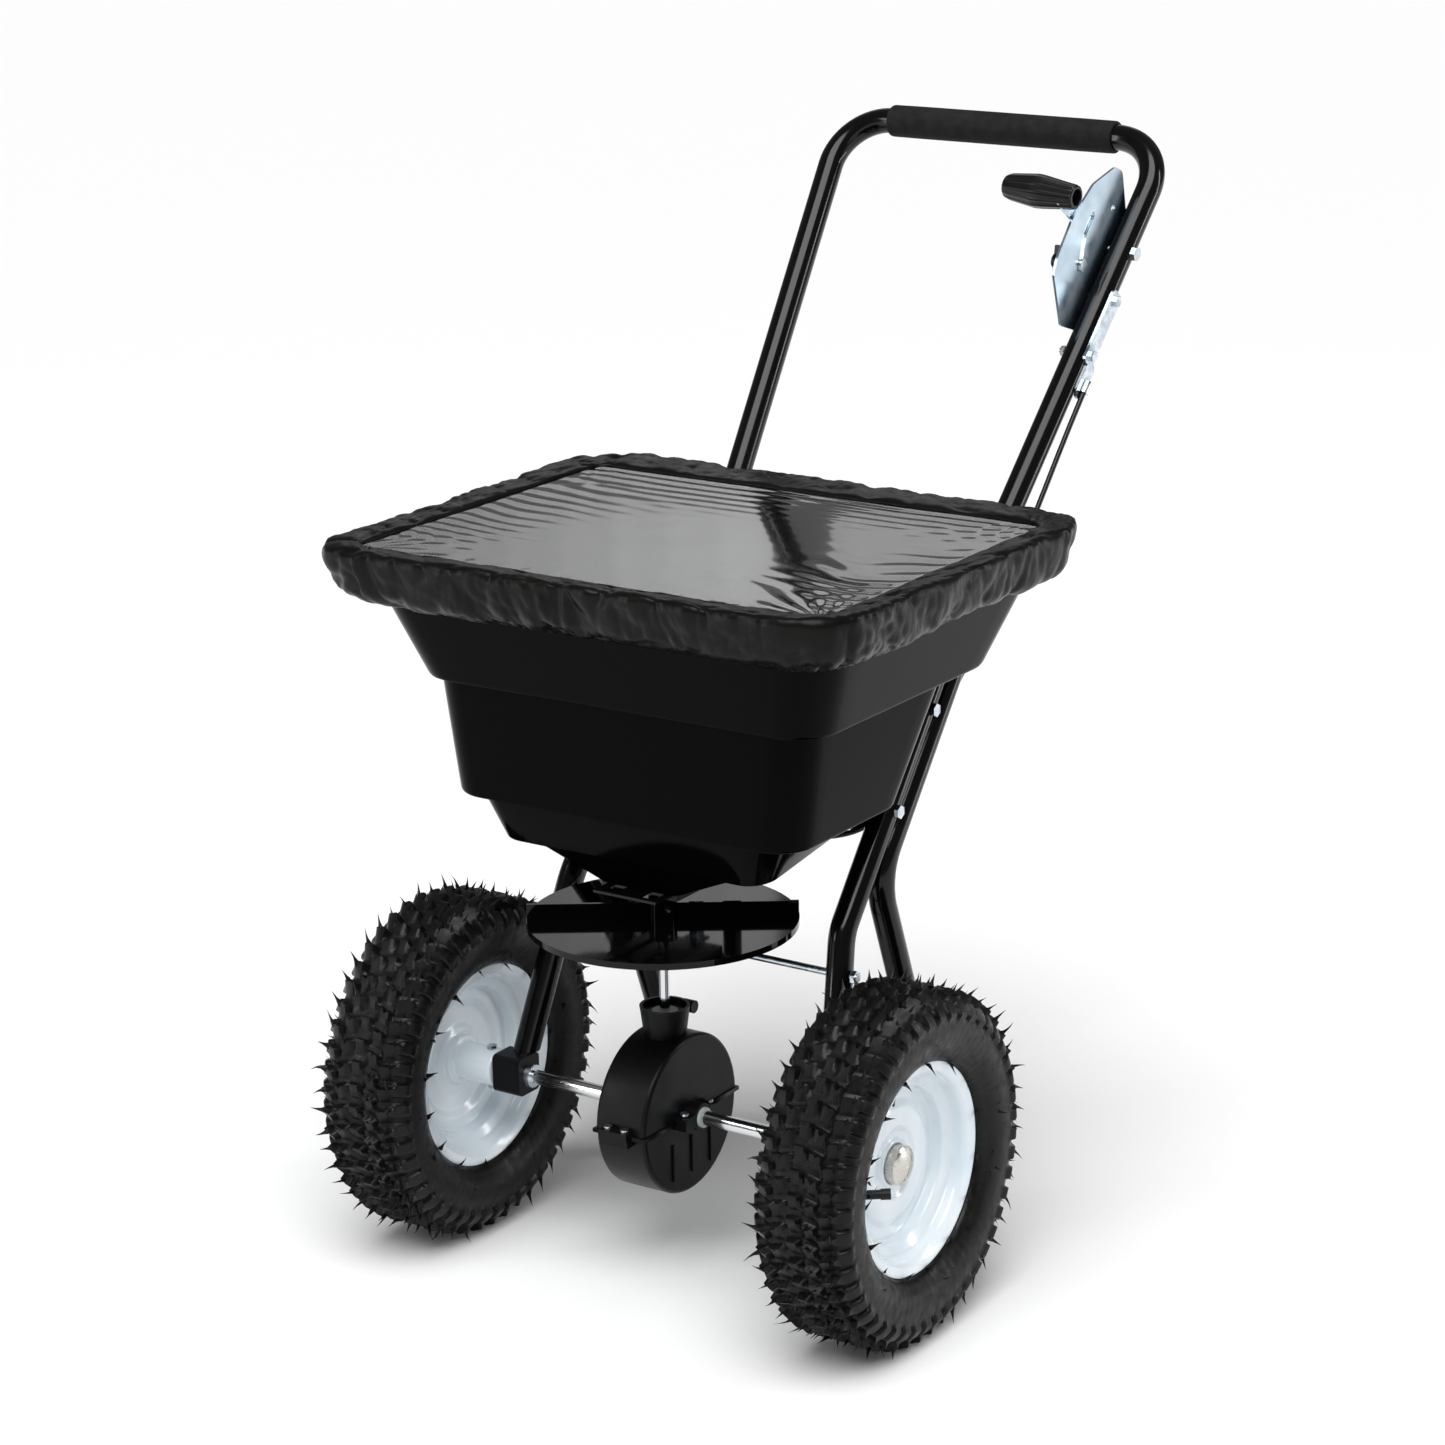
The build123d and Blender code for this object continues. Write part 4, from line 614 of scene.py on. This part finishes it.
# Each level of the cloth's section: half width, front, back, corner radius, height and tilt.
skirt_levels = [(0.2460, -0.1170, 0.2610, 0.018, 0.6918, 0), (0.2490, -0.1200, 0.2650, 0.022, 0.6945, 0),
                (0.2560, -0.1265, 0.2780, 0.036, 0.6955, 0), (0.2640, -0.1340, 0.2920, 0.050, 0.6962, 0),
                (0.2725, -0.1425, 0.3025, 0.060, 0.6962, 0), (0.2768, -0.1468, 0.3070, 0.062, 0.6925, 0),
                (0.2755, -0.1455, 0.3058, 0.062, 0.6800, 0), (0.2722, -0.1422, 0.3028, 0.061, 0.6670, 0),
                (0.2680, -0.1380, 0.2985, 0.058, 0.6560, 0), (0.2600, -0.1300, 0.2900, 0.054, 0.6485, 0),
                (0.2495, -0.1185, 0.2775, 0.047, 0.6440, 0), (0.2450, -0.1140, 0.2730, 0.045, 0.6405, 0)]


def unit_normals(points):
    """The cross product of the grid's two directions, made one long; the first direction wraps."""
    round_way = np.roll(points, -1, axis=1) - np.roll(points, 1, axis=1)
    down_way = np.gradient(points, axis=0)
    n = np.cross(round_way, down_way)
    return n / np.maximum(np.linalg.norm(n, axis=-1), 1e-12)[..., None]


def ridges(place, width, sharp):
    """Rounded folds with narrow valleys: 1 - |sin| to a power, width metres from fold to fold."""
    return (1 - np.abs(np.sin(np.pi * place / width))) ** sharp


def drift(place, period, seed):
    """A slow wave between 0 and 1 that never repeats within the piece."""
    a, b, c = np.random.default_rng(seed).uniform(0, 6.28, 3)
    wave = np.sin(place / period + a) + np.sin(1.7 * place / period + b) + np.sin(0.6 * place / period + c)
    return 0.5 + wave / 6


def creases(u, v, seed, count, smallest, largest):
    """Sharp ridges that run every way: (1 - |sin|)^2 along random bent lines, each fading in and out."""
    dice = np.random.default_rng(seed)
    height = np.zeros(np.broadcast(u, v).shape)
    for _ in range(count):
        way = dice.uniform(0.15, np.pi - 0.15)
        size, start = dice.uniform(smallest, largest), dice.uniform(0, 1)
        bend = 0.25 * np.sin(u / dice.uniform(0.03, 0.09) + dice.uniform(0, 6.28) + v / 0.03)
        line = (u * np.cos(way) + v * np.sin(way)) / size + start + bend
        here = smooth_step((drift(u + v, dice.uniform(0.025, 0.06), dice.integers(1000)) - 0.45) / 0.25)
        height += here * dice.uniform(0.5, 1.0) * (1 - np.abs(np.sin(np.pi * line))) ** 2
    return height


skirt_rows = 48
border_width = 0.095
folds, corner_folds, hem_folds = 120, 150, 130
millimetre = 0.001
base = ring(*through(skirt_levels, skirt_rows).T, counts=(230, 180, 44))
middle_row = base[skirt_rows // 2]
along = np.concatenate([[0], np.cumsum(np.linalg.norm(np.diff(middle_row, axis=0), axis=1))])[None, :]
whole = along[0, -1] + 0.002
down = np.linspace(0, 1, skirt_rows)[:, None]
fall = border_width * down
lap = 2 * np.pi * along / whole
warp = 0.010 * np.sin(5 * lap + 1.3) + 0.008 * np.sin(11 * lap + 0.4) + 0.006 * np.sin(17 * lap + 4 * down)
corner_places = 0.5 * (np.abs(middle_row[:, 0]) > 0.235) * (np.abs(middle_row[:, 1] - 0.08) > 0.195)
at_corner = smooth_step(2 * np.convolve(np.tile(corner_places, 3), np.ones(25) / 25, "same"))
at_corner = at_corner[len(middle_row):2 * len(middle_row)][None, :]
gathers = (1.1 * drift(along, 0.09, 2) * ridges(along - 1.6 * warp - 0.02 * down, whole / folds, 1.6)
           + 2.2 * at_corner * ridges(along + 0.5 * warp + 0.03 * down, whole / corner_folds, 1.2))
crumples = (2.9 * creases(along, fall, 11, 9, 0.045, 0.085)
            + 1.8 * creases(along, fall, 23, 12, 0.022, 0.042)
            + 0.5 * creases(along, fall, 31, 10, 0.010, 0.018))
swell = 4.5 * (drift(along, 0.10, 6) - 0.5) + 3.0 * (drift(along, 0.045, 7) - 0.5)
near_seam = smooth_step(down / 0.10)
on_face = smooth_step((down - 0.30) / 0.25) * smooth_step((1.02 - down) / 0.12)
near_hem = smooth_step((down - 0.62) / 0.25)
mean_crumple = 3.4
puff = millimetre * (near_seam * (crumples - mean_crumple) * (0.5 + 0.5 * on_face)
                     + near_hem * gathers + swell * on_face)
hem = smooth_step((down - 0.9) / 0.08)
puff = puff * (1 - hem) + hem * millimetre * (0.6 + 1.1 * ridges(along + warp, whole / hem_folds, 1.0))
skirt = base + puff[..., None] * unit_normals(base)
left_corner = np.exp(-(((base[..., 0] + 0.255) / 0.07) ** 2 + ((base[..., 1] + 0.12) / 0.09) ** 2))
skirt[..., 0] -= 0.012 * left_corner * on_face
skirt[..., 1] -= 0.004 * left_corner * on_face
cover_cloth = piece("cover_border", surface(skirt, wrap_columns=True), "cover", coated_cloth, closed=False,
                    crease=75, stands_for=["cover_skirt"])
thick = cover_cloth.modifiers.new("cloth thickness", "SOLIDIFY")
thick.thickness = 0.0008
thick.offset = -1.0

# %% [markdown]
# The window is soft vinyl, 0.6 mm thick. It is pulled tight between its seams, so creases run in
# from the corners and from the side seams and fade towards the middle, and long ripples lie along
# the back edge. Two clear faces reflect strongly at a low angle, which shows every ripple.

# %% Cover window
clear_vinyl, tree, shader = finish("clear_vinyl", "#f2f4f5", 0.05, Transmission_Weight=1.0, IOR=1.5)
bump(tree, shader, grain(tree, 0.05, 1).outputs["Fac"], 0.05, 0.001)

window_x = np.linspace(-0.2500, 0.2500, 190)[None, :]
window_y = np.linspace(-0.1205, 0.2655, 150)[:, None]
to_left, to_right = window_x + 0.246, 0.246 - window_x
to_front, to_back = window_y + 0.117, 0.261 - window_y
wander = (0.010 * np.sin(31 * window_x + 2) + 0.006 * np.sin(43 * window_y + 1)
          + 0.003 * np.sin(67 * window_x + 40 * window_y))
lift = 0.10 * np.sin(14 * window_x + 6 * window_y + 0.5) * np.sin(12 * window_y + 1.0)
for corner_x, corner_y, strength, spread in ((-0.246, -0.117, 0.30, 0.05), (0.246, -0.117, 0.55, 0.07),
                                             (-0.246, 0.261, 0.30, 0.06), (0.246, 0.261, 0.40, 0.05)):
    far = np.hypot(window_x - corner_x, window_y - corner_y) + 1e-6
    turned = np.arctan2(window_y - corner_y, window_x - corner_x)
    lift = lift + strength * np.exp(-far / spread) * np.sin(22 * turned + 40 * wander)
from_left = np.sin(2 * np.pi * (window_y + 0.6 * wander + 0.25 * window_x) / 0.023
                   + 2.5 * np.sin(19 * window_y))
lift = lift + 0.32 * np.exp(-to_left / 0.050) * from_left
from_right = np.sin(2 * np.pi * (window_y + wander - 0.2 * window_x) / 0.031 + 2.0 * np.sin(24 * window_y))
lift = lift + 0.50 * np.exp(-to_right / 0.050) * from_right * smooth_step((0.20 - window_y) / 0.15)
lift = lift + 0.75 * np.exp(-to_back / 0.028) * np.sin(2 * np.pi * (to_back + 0.15 * wander) / 0.019)
lift = lift + 0.25 * np.exp(-to_front / 0.018) * np.sin(2 * np.pi * (window_x + wander) / 0.034)
patch = np.exp(-((window_x - 0.19) / 0.05) ** 2 - ((window_y + 0.01) / 0.06) ** 2)
lift = lift + 0.35 * patch * np.sin(2 * np.pi * (window_y + 1.5 * wander) / 0.030 + 1.0)
held_down = smooth_step(np.minimum(np.minimum(to_left, to_right), np.minimum(to_front, to_back)) / 0.012)
window_z = 0.6912 + 0.0009 * lift * held_down
pane = np.stack(np.broadcast_arrays(window_x, window_y, window_z), axis=-1)
window = piece("cover_pane", surface(pane), "cover", clear_vinyl, closed=False, crease=80,
               stands_for=["cover_window"])
gauge = window.modifiers.new("vinyl thickness", "SOLIDIFY")
gauge.thickness = 0.0006
gauge.offset = -1.0

# %% [markdown]
# ## Handle
# The hand grip is a foam sleeve with softly cut ends, a little fuller in the middle.

# %% Foam grip
grip_low, grip_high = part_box("handle_grip")
grip_centre = (np.array(grip_low) + np.array(grip_high)) / 2
grip_half = (grip_high[0] - grip_low[0]) / 2
grip_outside = soften([(-grip_half, 0.0127), (-grip_half, 0.0158), (-0.09, 0.0160), (0.09, 0.0160),
                       (grip_half, 0.0158), (grip_half, 0.0127)], 0.0028, 5)
grip_profile = np.concatenate([grip_outside, [(0.06, 0.0127), (-0.06, 0.0127), (-grip_half, 0.0127)]])
piece("foam_grip", lathe(grip_profile, grip_centre, count=64), "frame", foam_rubber, crease=50,
      stands_for=["handle_grip"])

# %% [markdown]
# The lever's grip is a hollow moulding, widest near its middle, with flutes along it for the fingers.

# %% Lever grip
pivot = np.array(joints["lever_swing"]["pos_m"])
outward = np.array(joints["lever_swing"]["axis"])
tube_way = np.array([0.1, 0.8, 1.0]) / np.linalg.norm([0.1, 0.8, 1.0])
forward = np.cross(outward, tube_way)
lever_turn = np.radians(92.0)
grip_root = pivot + 0.106 * (np.cos(lever_turn) * tube_way + np.sin(lever_turn) * forward) - 0.005 * outward
grip_section = [(0.0, 0.0), (0.0, 0.0105), (0.006, 0.0122), (0.034, 0.0157), (0.042, 0.0152),
                (0.066, 0.0122), (0.077, 0.0112), (0.0775, 0.0082), (0.0770, 0.0078), (0.050, 0.0078),
                (0.0495, 0.0)]
fluted = soften(grip_section[::-1], 0.002, 5)
fluted[:, 0] = 0.0775 - fluted[:, 0]
a = np.linspace(0, 2 * np.pi, 120, endpoint=False)[:, None]
flute = np.maximum(np.cos(12 * a), -0.2) * 0.0006 * smooth_step((fluted[:, 1] - 0.0100) / 0.002)
r = fluted[:, 1] + flute
grip_points = (grip_root - (fluted[:, 0] - 0.0025)[None, :, None] * outward
               + (r * np.cos(a))[..., None] * tube_way + (r * np.sin(a))[..., None] * forward)
piece("lever_hand_grip", surface(grip_points, wrap_rows=True), "lever", black_plastic, crease=40,
      stands_for=["lever_grip"])

# %% [markdown]
# ## Control cable
# The cable leaves its bracket on the handle, runs down behind the right tube and crosses under the
# hopper to the gate. It is one smooth curve of its real length.

# %% Cable
cable_points = np.array([[0.1816, 0.4601, 0.7820], [0.1784, 0.4352, 0.7508], [0.1680, 0.3590, 0.6400],
                         [0.1560, 0.2970, 0.5600], [0.1420, 0.2530, 0.5000], [0.1280, 0.2002, 0.4290],
                         [0.0900, 0.1822, 0.3902], [0.0, 0.1702, 0.3822], [0.0, 0.0940, 0.3822]])
cable_curve = bpy.data.curves.new("control_cable", "CURVE")
cable_curve.dimensions = "3D"
cable_curve.bevel_depth = 0.0026
cable_curve.bevel_resolution = 5
cable_curve.resolution_u = 16
cable_curve.use_fill_caps = True
cable_line = cable_curve.splines.new("NURBS")
cable_line.points.add(len(cable_points) - 1)
weights = np.ones((len(cable_points), 1))
cable_line.points.foreach_set("co", np.concatenate([cable_points, weights], axis=1).ravel())
cable_line.order_u = 3
cable_line.use_endpoint_u = True
cable_curve.materials.append(cable_pvc)
cable = bpy.data.objects.new("control_cable", cable_curve)
bpy.context.scene.collection.objects.link(cable)
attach(cable, "frame")
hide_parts("cable_housing")

# %% [markdown]
# ## Studio
# A pale floor, one broad light overhead like a bright sky, and tall strips at the sides that draw thin
# lines along the tubes. A row of panels stands behind, where the clear window throws its reflection:
# they grow brighter to the right, then comes a dark gap and one wide box.

# %% Floor and lights
floor_paint, tree, shader = finish("studio_floor", "#f4f4f4", 0.9, Specular_IOR_Level=0.0)
floor_data = bpy.data.meshes.new("studio_floor")
floor_data.from_pydata([(-60, -60, 0), (60, -60, 0), (60, 60, 0), (-60, 60, 0)], [], [(0, 1, 2, 3)])
floor_data.materials.append(floor_paint)
studio_floor = bpy.data.objects.new("studio_floor", floor_data)
bpy.context.scene.collection.objects.link(studio_floor)

world = bpy.data.worlds.new("studio")
world.use_nodes = True
world.node_tree.nodes["Background"].inputs["Color"].default_value = (1, 1, 1, 1)
# The backdrop is white to look at but lights the scene only a little, so that glossy black stays black.
looked_at = add_node(world.node_tree, "ShaderNodeLightPath")
backdrop = add_node(world.node_tree, "ShaderNodeMapRange", values={"To Min": 0.16, "To Max": 1.0},
                    links={"Value": looked_at.outputs["Is Camera Ray"]})
world.node_tree.links.new(backdrop.outputs["Result"],
                          world.node_tree.nodes["Background"].inputs["Strength"])
bpy.context.scene.world = world


def soft_light(name, place, target, width, height, power):
    """An area light at place that faces target; its -Z points there and the camera doesn't see it."""
    data = bpy.data.lights.new(name, "AREA")
    data.shape = "RECTANGLE"
    data.size, data.size_y, data.energy = width, height, power
    lamp = bpy.data.objects.new(name, data)
    away = np.array(place, float) - np.array(target, float)
    away /= np.linalg.norm(away)
    across = np.cross([0, 0, 1], away) if abs(away[2]) < 0.99 else np.array([1.0, 0, 0])
    across /= np.linalg.norm(across)
    rows = np.stack([across, np.cross(away, across), away], axis=1)
    lamp.matrix_world = Matrix([[*row, p] for row, p in zip(rows, place)] + [[0, 0, 0, 1]])
    lamp.visible_camera = False
    bpy.context.scene.collection.objects.link(lamp)
    return lamp


sun_data = bpy.data.lights.new("broad_overhead", "SUN")
sun_data.energy = 3.3
sun_data.angle = np.radians(50)
sun = bpy.data.objects.new("broad_overhead", sun_data)
sun.rotation_euler = (np.radians(28), 0, np.radians(25))
bpy.context.scene.collection.objects.link(sun)

middle = np.array([0.0, 0.1, 0.55])
level_back = np.array([back[0], back[1], 0]) / np.hypot(back[0], back[1])
soft_light("strip_left", middle - 2.6 * right + 0.9 * level_back + [0, 0, 0.5], middle, 0.25, 2.6, 16)
soft_light("strip_right", middle + 2.6 * right - 0.2 * level_back + [0, 0, 0.5], middle, 0.25, 2.6, 20)
behind = np.array([0.0, 0.07, 0.69]) - 3.4 * level_back
box_height, box_middle = 1.35, 1.45
box_width, box_radiance = 0.95, 0.6
toward_window = np.array([0.0, 0.07, 0.70]) - behind - [0, 0, box_middle]
panels, panel_width, panel_start = 10, 0.1, -0.83
# A panel's power is its radiance times pi times its area, so neighbours of one radiance look alike.
for panel in range(panels):
    place = behind + (panel_start + panel_width * panel) * right + [0, 0, box_middle]
    radiance = 0.22 + 0.62 * panel / (panels - 1)
    power = radiance * np.pi * panel_width * box_height
    soft_light(f"window_panel_{panel}", place, place + toward_window, panel_width, box_height, power)
place = behind + 0.70 * right + [0, 0, box_middle]
power = box_radiance * np.pi * box_width * box_height
soft_light("window_box_right", place, place + toward_window, box_width, box_height, power)

# A product shot keeps plain white as white, so the picture is shown without a film curve.
bpy.context.scene.view_settings.view_transform = "Standard"
